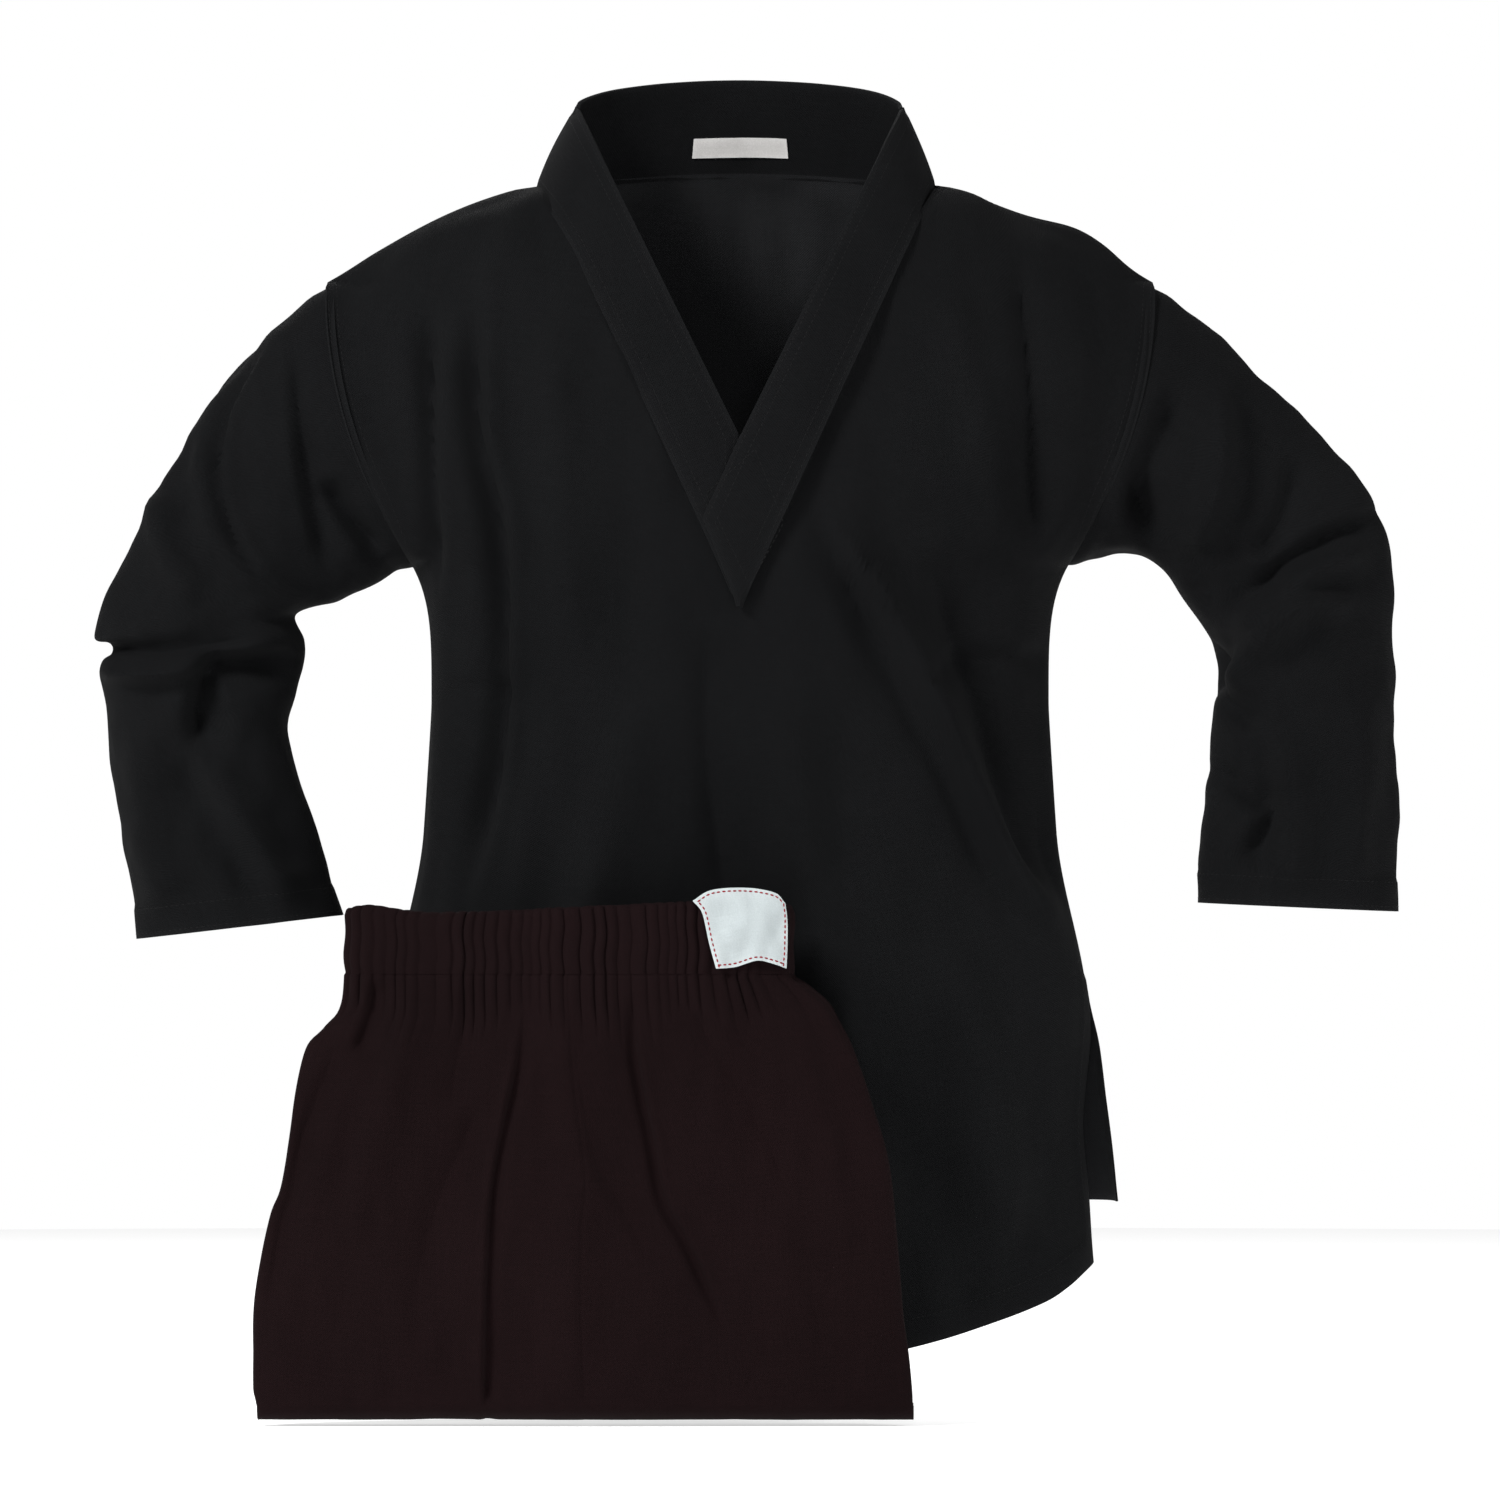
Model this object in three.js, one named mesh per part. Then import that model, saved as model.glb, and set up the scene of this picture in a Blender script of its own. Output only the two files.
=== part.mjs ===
// Martial arts uniform: a pullover jacket with a crossed V collar, and elastic-waist trousers
// folded flat in front of it. Millimetres, +Z up, the front faces -Y.
// Right and left are the wearer's, so the wearer's right is -X.
// The origin is the middle of the neck, level with the shoulder points of the collar.

import * as THREE from 'three';

// Cloth and the gap between neighbouring pieces
const GAP = 0.3;
const SEAM_GAP = 0.6;
const JACKET_CLOTH = 2.0;
const COLLAR_CLOTH = 2.4;
const TROUSER_CLOTH = 1.5;
const LABEL_CLOTH = 0.8;

// Jacket body
const NECK_HALF = 125;
const NECK_DEPTH = 271;
const BACK_NECK_RISE = 10;
const NAPE_RISE = 55;
const SHOULDER_DROP = 68;
const SHOULDER_ROLL = 110;
const FRONT_DEPTH = 78;
const BACK_DEPTH = 72;
const WAIST_HALF = 196;
const WAIST_Z = -330;
const VENT_Z = -503;
const FRONT_HEM_HALF = 224;
const FRONT_HEM_SIDE_Z = -684;
const FRONT_HEM_DROP = 66;
const BACK_SKIRT_FLARE = 35;
const BACK_HEM_Z = -650;

// Armhole: a leaning oval that the sleeve is sewn to
const ARMHOLE_HALF_HEIGHT = 87;
const ARMHOLE_HALF_DEPTH = 48;
const ARMHOLE_X = 235;
const ARMHOLE_LEAN = 27;
const ARMHOLE_BOW = 14;

// Sleeves: elbow and cuff centres in x, z of the wearer's left side
const SLEEVES = {
  right: { side: -1, elbow: [342, -289], cuff: [316, -469], elbowHalf: 66, cuffHalf: 65 },
  left: { side: 1, elbow: [353, -264], cuff: [351, -457], elbowHalf: 67, cuffHalf: 64 },
};
const SLEEVE_DEPTH_HALF = 40;
const CUFF_DEPTH_HALF = 36;
const FOREARM_PINCH = 5;
const ELBOW_REACH = 45;

// Collar
const COLLAR_WIDTH = 46;
const COLLAR_TOP_HALF = 104;
const COLLAR_TOP_Z = 50;
const COLLAR_BACK_RISE = 12;
const COLLAR_BACK_Y = 50;
const NECK_LABEL_WIDTH = 62;
const NECK_LABEL_HEIGHT = 16;

// Trousers
const TROUSER_X = -107.5;
const TROUSER_WAIST_HALF = 139.5;
const TROUSER_TOP_Z = -457;
const WAISTBAND_HEIGHT = 42;
const WAIST_DEPTH_HALF = 15;
const HIP_DEPTH_HALF = 17;
const TROUSER_FOLD_Z = -779;
const RIGHT_HIP_SPREAD = 57;
const LEFT_HIP_SPREAD = 78;
const ELASTIC_WIDTH = 36;
const ELASTIC_CLOTH = 1.2;
const WAIST_LABEL_WIDTH = 60;
const WAIST_LABEL_HEIGHT = 44;
const WAIST_LABEL_RISE = 3;
const WAIST_LABEL_EDGE = 3;
const LEG_LAYER = 7;
const LEG_INSET = 4;
const LEG_TAPER = 9;
const LEG_FOLD_LENGTH = 185;

// Places that follow from the sizes above
const ARMHOLE_Z = -SHOULDER_DROP - ARMHOLE_HALF_HEIGHT;
const ARMHOLE_TOP_X = ARMHOLE_X + ARMHOLE_LEAN;
const UNDERARM_X = ARMHOLE_X - ARMHOLE_LEAN;
const UNDERARM_Z = ARMHOLE_Z - ARMHOLE_HALF_HEIGHT;
const WAISTBAND_Z = TROUSER_TOP_Z - WAISTBAND_HEIGHT;
const LEG_LAYERS = ['end', 'middle', 'upper'];
const LEG_PITCH = LEG_LAYER + GAP;
const LEG_END_Y = -FRONT_DEPTH - SEAM_GAP - LEG_LAYER / 2;
const TROUSER_Y = LEG_END_Y + LEG_LAYER / 2 - LEG_LAYERS.length * LEG_PITCH - HIP_DEPTH_HALF;

const uniform = new THREE.Group();

const jacketBlack = { color: 0x17181a, roughness: 0.92, metalness: 0 };
const trouserBrown = { color: 0x1c1415, roughness: 0.92, metalness: 0 };
const labelWhite = { color: 0xc9c6c4, roughness: 0.8, metalness: 0 };
const elasticWhite = { color: 0xbdbab4, roughness: 0.85, metalness: 0 };

function add(name, geometry, finish) {
  const mesh = new THREE.Mesh(geometry, new THREE.MeshStandardMaterial(finish));
  mesh.name = name;
  uniform.add(mesh);
}

function clamp(value, low, high) {
  return Math.min(high, Math.max(low, value));
}

function smooth(share) {
  const t = clamp(share, 0, 1);
  return t * t * (3 - 2 * t);
}

// A sheet of cloth as one closed solid, from two grids of points: its outer and its inner face.
// u runs across and v runs along, and a closed sheet is a tube that meets itself across.
function sheet(outer, inner, columns, rows, closed = false) {
  const across = closed ? columns : columns + 1;
  const points = [];
  const faces = [];
  for (const face of [outer, inner]) {
    for (let row = 0; row <= rows; row += 1) {
      for (let column = 0; column < across; column += 1) {
        points.push(face(column / columns, row / rows));
      }
    }
  }
  const out = (row, column) => row * across + (column % across);
  const back = (row, column) => (rows + 1) * across + out(row, column);
  const quad = (a, b, c, d) => faces.push(a, b, c, a, c, d);
  for (let column = 0; column < columns; column += 1) {
    for (let row = 0; row < rows; row += 1) {
      quad(out(row, column), out(row, column + 1), out(row + 1, column + 1), out(row + 1, column));
      quad(back(row, column), back(row + 1, column), back(row + 1, column + 1), back(row, column + 1));
    }
    quad(back(0, column), back(0, column + 1), out(0, column + 1), out(0, column));
    quad(out(rows, column), out(rows, column + 1), back(rows, column + 1), back(rows, column));
  }
  if (!closed) {
    for (let row = 0; row < rows; row += 1) {
      quad(back(row, 0), out(row, 0), out(row + 1, 0), back(row + 1, 0));
      quad(out(row, columns), back(row, columns), back(row + 1, columns), out(row + 1, columns));
    }
  }
  const geometry = new THREE.BufferGeometry().setFromPoints(points);
  geometry.setIndex(faces);
  geometry.computeVertexNormals();
  return geometry;
}

// A point moved off a surface along its normal, which is across x along.
function offset(surface, distance) {
  const step = 0.002;
  return (u, v) => {
    const across = surface(clamp(u + step, 0, 1), v).sub(surface(clamp(u - step, 0, 1), v));
    const along = surface(u, clamp(v + step, 0, 1)).sub(surface(u, clamp(v - step, 0, 1)));
    const normal = across.cross(along).normalize();
    return surface(u, v).addScaledVector(normal, distance);
  };
}

// --- Jacket body ---

// Height of the shoulder line, which climbs to the nape between the neck points.
function shoulderHeight(x) {
  const side = Math.abs(x);
  if (side < NECK_HALF) {
    return NAPE_RISE * (1 - (side / NECK_HALF) ** 2);
  }
  return -SHOULDER_DROP * ((side - NECK_HALF) / (ARMHOLE_TOP_X - NECK_HALF)) ** 1.25;
}

function armholeAngle(z) {
  return Math.acos(clamp((z - ARMHOLE_Z) / ARMHOLE_HALF_HEIGHT, -1, 1));
}

// Half the width of the body at a height: the side seam below the underarm, the armhole above.
function bodyHalf(z) {
  if (z > UNDERARM_Z) {
    const angle = armholeAngle(z);
    return ARMHOLE_X + ARMHOLE_LEAN * Math.cos(angle) + ARMHOLE_BOW * Math.sin(angle) ** 2;
  }
  if (z > WAIST_Z) {
    const rise = (z - WAIST_Z) / (UNDERARM_Z - WAIST_Z);
    return WAIST_HALF + (UNDERARM_X - WAIST_HALF) * rise ** 4;
  }
  const fall = (WAIST_Z - z) / (WAIST_Z - FRONT_HEM_SIDE_Z);
  return WAIST_HALF + (FRONT_HEM_HALF - WAIST_HALF) * fall ** 1.2;
}

// Half the width of the back skirt, which flares out past the front below the vents.
function skirtHalf(z) {
  return bodyHalf(VENT_Z) + (BACK_SKIRT_FLARE * (VENT_Z - z)) / (VENT_Z - BACK_HEM_Z);
}

// How far a body panel stands off the middle plane: full over the chest, rolled in at the
// shoulder line, and drawn in to the side seam or to the armhole's edge.
function standOff(x, z, half, depth) {
  const share = clamp(Math.abs(x) / half, 0, 1);
  const fullness = Math.sqrt(1 - share ** 2.6);
  const drop = clamp((shoulderHeight(x) - z) / SHOULDER_ROLL, 0, 1);
  const roll = Math.sqrt(1 - (1 - drop) ** 2);
  const edge = z > UNDERARM_Z ? ARMHOLE_HALF_DEPTH * Math.sin(armholeAngle(z)) : 0;
  return GAP / 2 + depth * roll * fullness + edge * (1 - fullness);
}

function frontY(x, z) {
  return -standOff(x, z, bodyHalf(z), FRONT_DEPTH);
}

function backY(x, z) {
  return standOff(x, z, bodyHalf(z), BACK_DEPTH);
}

function frontTop(x) {
  const side = Math.abs(x);
  return side < NECK_HALF ? -NECK_DEPTH * (1 - side / NECK_HALF) : shoulderHeight(x);
}

function backTop(x) {
  const side = Math.abs(x);
  return side < NECK_HALF ? BACK_NECK_RISE * (1 - (side / NECK_HALF) ** 2) : shoulderHeight(x);
}

function frontHem(share) {
  const rise = 0.85 * Math.abs(share) ** 1.75 + 0.15 * Math.abs(share) ** 12;
  return FRONT_HEM_SIDE_Z - FRONT_HEM_DROP * (1 - rise);
}

// Where a column of the front panel ends: on the V or on the shoulder line.
function frontTopOf(share) {
  let top = frontTop(share * ARMHOLE_TOP_X);
  for (let pass = 0; pass < 20; pass += 1) {
    top = frontTop(share * bodyHalf(top));
  }
  return top;
}

// Columns across a panel: even between the neck points, then closer towards the side edges.
function columnShare(u) {
  const neckShare = NECK_HALF / ARMHOLE_TOP_X;
  const across = Math.abs(2 * u - 1);
  const inNeck = 3 / 7;
  if (across <= inNeck) {
    return (Math.sign(u - 0.5) * neckShare * across) / inNeck;
  }
  const outside = Math.sin(((Math.PI / 2) * (across - inNeck)) / (1 - inNeck));
  return Math.sign(u - 0.5) * (neckShare + (1 - neckShare) * outside);
}

// Height along a panel's side edge: even up to the underarm, then round the armhole.
function edgeHeight(v, bottom, underarmShare) {
  if (v < underarmShare) {
    return bottom + ((UNDERARM_Z - bottom) * v) / underarmShare;
  }
  const angle = Math.PI * (1 - (v - underarmShare) / (1 - underarmShare));
  return ARMHOLE_Z + ARMHOLE_HALF_HEIGHT * Math.cos(angle);
}

function jacketFront(u, v) {
  const share = columnShare(u);
  const sideLength = -SHOULDER_DROP - FRONT_HEM_SIDE_Z;
  const rise = (edgeHeight(v, FRONT_HEM_SIDE_Z, 0.5) - FRONT_HEM_SIDE_Z) / sideLength;
  const z = frontHem(share) + (frontTopOf(share) - frontHem(share)) * rise;
  const x = share * bodyHalf(z);
  return new THREE.Vector3(x, frontY(x, z), z);
}

function jacketBack(u, v) {
  const share = columnShare(1 - u);
  const bottom = VENT_Z + GAP / 2;
  const rise = (edgeHeight(v, bottom, 0.45) - bottom) / (-SHOULDER_DROP - bottom);
  const z = bottom + (backTop(share * ARMHOLE_TOP_X) - bottom) * rise;
  const x = share * bodyHalf(z);
  return new THREE.Vector3(x, backY(x, z), z);
}

function backSkirt(u, v) {
  const share = Math.sin(Math.PI * (0.5 - u));
  const z = BACK_HEM_Z + (VENT_Z - SEAM_GAP - BACK_HEM_Z) * v;
  const x = share * skirtHalf(z);
  return new THREE.Vector3(x, standOff(x, z, skirtHalf(z), BACK_DEPTH), z);
}

add('jacket_front', sheet(jacketFront, offset(jacketFront, -JACKET_CLOTH), 28, 18), jacketBlack);
add('jacket_back', sheet(jacketBack, offset(jacketBack, -JACKET_CLOTH), 28, 16), jacketBlack);
add('jacket_back_skirt', sheet(backSkirt, offset(backSkirt, -JACKET_CLOTH), 20, 3), jacketBlack);

// --- Sleeves ---

// A ring of the sleeve: it leaves the armhole as the armhole's own oval and turns square to the arm.
function sleeveRing(arm, centre, tangent, turn, half, depth, angle) {
  const square = new THREE.Vector3(-tangent.z * arm.side, 0, tangent.x * arm.side).multiplyScalar(half);
  const armhole = new THREE.Vector3(arm.side * ARMHOLE_LEAN, 0, ARMHOLE_HALF_HEIGHT);
  armhole.multiplyScalar(half / armhole.length());
  const up = armhole.lerp(square, turn);
  const bow = arm.side * ARMHOLE_BOW * (1 - turn) * Math.sin(angle) ** 2;
  return new THREE.Vector3(
    centre.x + up.x * Math.cos(angle) + bow,
    centre.y - arm.side * depth * Math.sin(angle),
    centre.z + up.z * Math.cos(angle),
  );
}

// The sleeve's surface from share 0 at the armhole to share 1 at the cuff.
function sleeveSurface(arm, inset) {
  const path = new THREE.CatmullRomCurve3([
    new THREE.Vector3(arm.side * (ARMHOLE_X + SEAM_GAP), 0, ARMHOLE_Z),
    new THREE.Vector3(arm.side * arm.elbow[0], 0, arm.elbow[1]),
    new THREE.Vector3(arm.side * arm.cuff[0], 0, arm.cuff[1]),
  ]);
  const armholeHalf = Math.hypot(ARMHOLE_LEAN, ARMHOLE_HALF_HEIGHT);
  return (u, share) => {
    const centre = path.getPointAt(clamp(share, 0, 1));
    const tangent = path.getTangentAt(clamp(share, 0, 1));
    const toElbow = smooth(share / 0.45);
    const toCuff = smooth((share - 0.5) / 0.5);
    const pinch = FOREARM_PINCH * Math.sin(Math.PI * clamp((share - 0.5) / 0.5, 0, 1));
    const upperHalf = armholeHalf + (arm.elbowHalf - armholeHalf) * toElbow;
    const half = upperHalf + (arm.cuffHalf - arm.elbowHalf) * toCuff - pinch;
    const upperDepth = ARMHOLE_HALF_DEPTH + (SLEEVE_DEPTH_HALF - ARMHOLE_HALF_DEPTH) * toElbow;
    const depth = upperDepth + (CUFF_DEPTH_HALF - SLEEVE_DEPTH_HALF) * toCuff;
    return sleeveRing(arm, centre, tangent, toElbow, half - inset, depth - inset, 2 * Math.PI * u);
  };
}

// The stretch of a sleeve between two shares of its length, as a tube of cloth.
function sleeveTube(arm, from, to, rows) {
  const outer = sleeveSurface(arm, 0);
  const inner = sleeveSurface(arm, JACKET_CLOTH);
  const along = (surface) => (u, v) => surface(u, from + (to - from) * v);
  return sheet(along(outer), along(inner), 20, rows, true);
}

for (const [name, arm] of Object.entries(SLEEVES)) {
  const upper = Math.hypot(arm.elbow[0] - ARMHOLE_X, arm.elbow[1] - ARMHOLE_Z);
  const lower = Math.hypot(arm.cuff[0] - arm.elbow[0], arm.cuff[1] - arm.elbow[1]);
  const length = upper + lower;
  const bendStart = (upper - ELBOW_REACH) / length;
  const bendEnd = (upper + ELBOW_REACH) / length;
  const gap = SEAM_GAP / length;
  add(`${name}_upper_sleeve`, sleeveTube(arm, 0, bendStart, 6), jacketBlack);
  add(`${name}_elbow`, sleeveTube(arm, bendStart + gap, bendEnd - gap, 5), jacketBlack);
  add(`${name}_lower_sleeve`, sleeveTube(arm, bendEnd, 1, 5), jacketBlack);
}

// --- Collar ---

// Slope of the V edge, and unit steps up along the edge and square across the band.
const V_SLOPE = NECK_DEPTH / NECK_HALF;
const V_RUN = 1 / Math.hypot(1, V_SLOPE);
const V_RISE = V_SLOPE * V_RUN;

// The free edge of a front band stands off the chest and comes in to the neck's side at the top.
function freeEdgeY(z) {
  const start = -SHOULDER_ROLL;
  const share = clamp((z - start) / (COLLAR_TOP_Z - start), 0, 1);
  return -GAP - FRONT_DEPTH * Math.sqrt(1 - share ** 2);
}

// A front band from the foot of the V to the neck point. reach is how far, for each millimetre
// from the middle, its end may run across the V: the upper band crosses to the far edge.
function collarFront(side, reach, forward) {
  const fullX = COLLAR_WIDTH * V_RISE;
  return (u, v) => {
    const seamX = SEAM_GAP + 4 + (NECK_HALF - SEAM_GAP - 4) * v;
    const seamZ = frontTop(seamX) + SEAM_GAP;
    const layer = forward * smooth((-seamZ - 60) / 60);
    const seam = new THREE.Vector3(side * (seamX - SEAM_GAP), frontY(seamX, seamZ - SEAM_GAP) - layer, seamZ);
    const free = new THREE.Vector3();
    if (seamX < fullX) {
      const width = Math.min(COLLAR_WIDTH, reach * seamX);
      free.set(side * (seamX - V_RISE * width), -FRONT_DEPTH - layer, seamZ + V_RUN * width);
    } else {
      const climb = (seamX - fullX) / (NECK_HALF - fullX);
      const startZ = frontTop(fullX) + SEAM_GAP + V_RUN * COLLAR_WIDTH;
      const z = startZ + (COLLAR_TOP_Z - startZ) * climb;
      free.set(side * COLLAR_TOP_HALF * climb, freeEdgeY(z) - layer, z);
    }
    const across = side > 0 ? 1 - u : u;
    return seam.lerp(free, across);
  };
}

// The band round the back of the neck, from the right neck point to the left. It leans in, so
// its inner face reaches lower than its outer face, and the seam makes room for that.
const COLLAR_LEAN = (NECK_HALF - COLLAR_TOP_HALF) / Math.hypot(NECK_HALF - COLLAR_TOP_HALF, COLLAR_TOP_Z);

function collarBack(u, v) {
  const angle = (Math.PI / 2) * (2 * v - 1) * 0.985;
  const x = NECK_HALF * Math.sin(angle);
  const seamZ = backTop(x) + SEAM_GAP + 1.1 * COLLAR_LEAN * COLLAR_CLOTH;
  const seam = new THREE.Vector3(x, backY(x, backTop(x)) + GAP, seamZ);
  const free = new THREE.Vector3(
    COLLAR_TOP_HALF * Math.sin(angle),
    COLLAR_BACK_Y * Math.cos(angle) + GAP,
    COLLAR_TOP_Z + COLLAR_BACK_RISE * Math.cos(angle),
  );
  return seam.lerp(free, u);
}

function neckLabel(u, v) {
  const height = COLLAR_TOP_Z + COLLAR_BACK_RISE - BACK_NECK_RISE;
  const shareUp = 0.12 + (NECK_LABEL_HEIGHT / height) * u;
  const shareRound = 0.5 + (NECK_LABEL_WIDTH / (Math.PI * NECK_HALF)) * (v - 0.5);
  return offset(collarBack, -COLLAR_CLOTH - SEAM_GAP)(shareUp, shareRound);
}

const acrossToMiddle = 1 / V_RISE;
const acrossToFarEdge = (2 * V_SLOPE) / (V_SLOPE * V_RISE - V_RUN);
const rightBand = collarFront(-1, acrossToMiddle * 0.97, 0);
const leftBand = collarFront(1, acrossToFarEdge * 0.9, COLLAR_CLOTH + GAP);
add('collar_right', sheet(rightBand, offset(rightBand, -COLLAR_CLOTH), 4, 20), jacketBlack);
add('collar_left', sheet(leftBand, offset(leftBand, -COLLAR_CLOTH), 4, 20), jacketBlack);
add('collar_back', sheet(collarBack, offset(collarBack, -COLLAR_CLOTH), 3, 20), jacketBlack);
add('neck_label', sheet(neckLabel, offset(neckLabel, -LABEL_CLOTH), 2, 8), labelWhite);

// --- Trousers ---

function hipShare(z, start, length, power) {
  return clamp((start - z) / length, 0, 1) ** power;
}

function trouserRight(z) {
  const spread = hipShare(z, WAISTBAND_Z - 16, 185, 0.6);
  return TROUSER_X - TROUSER_WAIST_HALF - RIGHT_HIP_SPREAD * spread;
}

function trouserLeft(z) {
  const spread = hipShare(z, WAISTBAND_Z, WAISTBAND_Z - TROUSER_FOLD_Z, 0.4);
  return TROUSER_X + TROUSER_WAIST_HALF + LEFT_HIP_SPREAD * spread;
}

// A point round the trousers at a height: flat in front and behind, turned in at the sides.
function trouserPoint(angle, z, depth, inset) {
  const middle = (trouserRight(z) + trouserLeft(z)) / 2;
  const half = (trouserLeft(z) - trouserRight(z)) / 2 - inset;
  const bulge = Math.sign(Math.sin(angle)) * Math.abs(Math.sin(angle)) ** 0.6;
  return new THREE.Vector3(middle + half * Math.cos(angle), TROUSER_Y + (depth - inset) * bulge, z);
}

function hipDepth(z) {
  const share = smooth((WAISTBAND_Z - z) / 120);
  const fold = smooth((TROUSER_FOLD_Z + 90 - z) / 90);
  return WAIST_DEPTH_HALF + (HIP_DEPTH_HALF - WAIST_DEPTH_HALF) * share - 6 * fold;
}

// One of the four panels, between two angles round the trousers.
function trouserPanel(from, to, bottom) {
  const top = WAISTBAND_Z - SEAM_GAP;
  const surface = (inset) => (u, v) => {
    const z = bottom + (top - bottom) * v;
    return trouserPoint(from + (to - from) * u, z, hipDepth(z), inset);
  };
  return sheet(surface(0), surface(TROUSER_CLOTH), 10, 14);
}

// Share of the waistband's path, from edge to edge, that its outer side takes up.
const OUTER_SHARE = 0.4;

const quarter = Math.PI / 2;
const seamAngle = 0.004;
const frontBottom = TROUSER_FOLD_Z;
const backBottom = TROUSER_FOLD_Z + 8;
add('trouser_right_front', trouserPanel(2 * quarter + seamAngle, 3 * quarter - seamAngle, frontBottom), trouserBrown);
add('trouser_left_front', trouserPanel(3 * quarter + seamAngle, 4 * quarter - seamAngle, frontBottom), trouserBrown);
add('trouser_left_back', trouserPanel(seamAngle, quarter - seamAngle, backBottom), trouserBrown);
add('trouser_right_back', trouserPanel(quarter + seamAngle, 2 * quarter - seamAngle, backBottom), trouserBrown);

// The waistband is the cloth folded over the elastic: up the outside, over, and down the inside.
// cover is how deep in the cloth the surface lies.
function waistband(cover) {
  const low = WAISTBAND_Z + GAP / 2;
  const high = TROUSER_TOP_Z - cover;
  const lining = 2 * TROUSER_CLOTH + ELASTIC_CLOTH + 2 * GAP - cover;
  return (u, v) => {
    const rising = v < 0.5;
    const height = rising ? v / OUTER_SHARE : (1 - v) / OUTER_SHARE;
    const z = low + (high - low) * Math.min(1, height);
    return trouserPoint(2 * Math.PI * u, z, WAIST_DEPTH_HALF, rising ? cover : lining);
  };
}

function elastic(inset) {
  const depth = TROUSER_CLOTH + GAP + inset;
  const bottom = TROUSER_TOP_Z - TROUSER_CLOTH - GAP - ELASTIC_WIDTH;
  return (u, v) => trouserPoint(2 * Math.PI * u, bottom + ELASTIC_WIDTH * v, WAIST_DEPTH_HALF, depth);
}

add('waistband', sheet(waistband(0), waistband(TROUSER_CLOTH), 40, 5, true), trouserBrown);
add('waist_elastic', sheet(elastic(0), elastic(ELASTIC_CLOTH), 40, 2, true), elasticWhite);

// The label is sewn on the outside of the waistband, round its left end.
function waistLabel(u, v) {
  const start = -Math.acos(1 - WAIST_LABEL_WIDTH / TROUSER_WAIST_HALF);
  const end = -Math.acos(1 - WAIST_LABEL_EDGE / TROUSER_WAIST_HALF);
  const angle = start + (end - start) * u;
  const stand = LABEL_CLOTH + SEAM_GAP;
  const point = trouserPoint(angle, WAISTBAND_Z + 1, WAIST_DEPTH_HALF, -stand);
  point.z = TROUSER_TOP_Z + WAIST_LABEL_RISE - WAIST_LABEL_HEIGHT * (1 - v);
  return point;
}

add('waist_label', sheet(waistLabel, offset(waistLabel, -LABEL_CLOTH), 12, 2), labelWhite);

// The legs turn up behind at the fold, then down, then up again to the hem, pressed flat.
// One layer of a leg, from its width at the fold to its width at the top.
function legLayer(side, y, foldHalf, topHalf) {
  const crotchX = TROUSER_X + (LEFT_HIP_SPREAD - RIGHT_HIP_SPREAD) / 2 + side * LEG_INSET;
  const surface = (inset) => (u, v) => {
    const angle = 2 * Math.PI * u;
    const half = foldHalf + (topHalf - foldHalf) * v;
    const x = crotchX + side * half + (half - inset) * Math.cos(angle);
    const bulge = Math.sign(Math.sin(angle)) * Math.abs(Math.sin(angle)) ** 0.5;
    const z = TROUSER_FOLD_Z + LEG_INSET + LEG_FOLD_LENGTH * v;
    return new THREE.Vector3(x, y + (LEG_LAYER / 2 - inset) * bulge, z);
  };
  return sheet(surface(0), surface(TROUSER_CLOTH), 16, 3, true);
}

const thighHalf = (trouserLeft(TROUSER_FOLD_Z) - trouserRight(TROUSER_FOLD_Z)) / 4 - LEG_INSET;
for (const [name, side] of [['right', -1], ['left', 1]]) {
  LEG_LAYERS.forEach((layer, place) => {
    const y = LEG_END_Y - place * LEG_PITCH;
    const geometry = legLayer(side, y, thighHalf - LEG_TAPER / 2, thighHalf - 1.5 * LEG_TAPER);
    add(`${name}_leg_${layer}`, geometry, trouserBrown);
  });
}

export default uniform;
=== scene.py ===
import math

import bpy
import numpy as np
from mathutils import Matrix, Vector, noise


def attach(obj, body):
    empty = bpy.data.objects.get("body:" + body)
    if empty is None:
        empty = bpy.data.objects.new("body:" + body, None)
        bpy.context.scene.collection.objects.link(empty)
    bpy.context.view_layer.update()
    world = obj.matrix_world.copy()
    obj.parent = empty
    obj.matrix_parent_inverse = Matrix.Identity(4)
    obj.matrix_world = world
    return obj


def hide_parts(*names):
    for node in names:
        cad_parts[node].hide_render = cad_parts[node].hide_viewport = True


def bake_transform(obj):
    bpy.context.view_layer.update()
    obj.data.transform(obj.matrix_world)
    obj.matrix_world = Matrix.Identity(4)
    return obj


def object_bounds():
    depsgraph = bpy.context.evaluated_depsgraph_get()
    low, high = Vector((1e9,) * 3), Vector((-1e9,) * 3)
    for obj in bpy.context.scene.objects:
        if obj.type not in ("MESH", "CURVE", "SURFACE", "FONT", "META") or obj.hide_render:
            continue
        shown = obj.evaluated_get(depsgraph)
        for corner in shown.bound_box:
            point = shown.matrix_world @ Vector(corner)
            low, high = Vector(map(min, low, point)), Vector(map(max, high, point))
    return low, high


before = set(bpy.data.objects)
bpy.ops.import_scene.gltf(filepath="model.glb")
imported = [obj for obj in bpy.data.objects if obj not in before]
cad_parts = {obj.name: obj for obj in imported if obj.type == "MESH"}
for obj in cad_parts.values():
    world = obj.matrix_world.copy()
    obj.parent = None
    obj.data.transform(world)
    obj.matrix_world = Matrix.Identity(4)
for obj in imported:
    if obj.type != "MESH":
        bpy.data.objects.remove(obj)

cad_low, cad_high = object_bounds()

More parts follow.
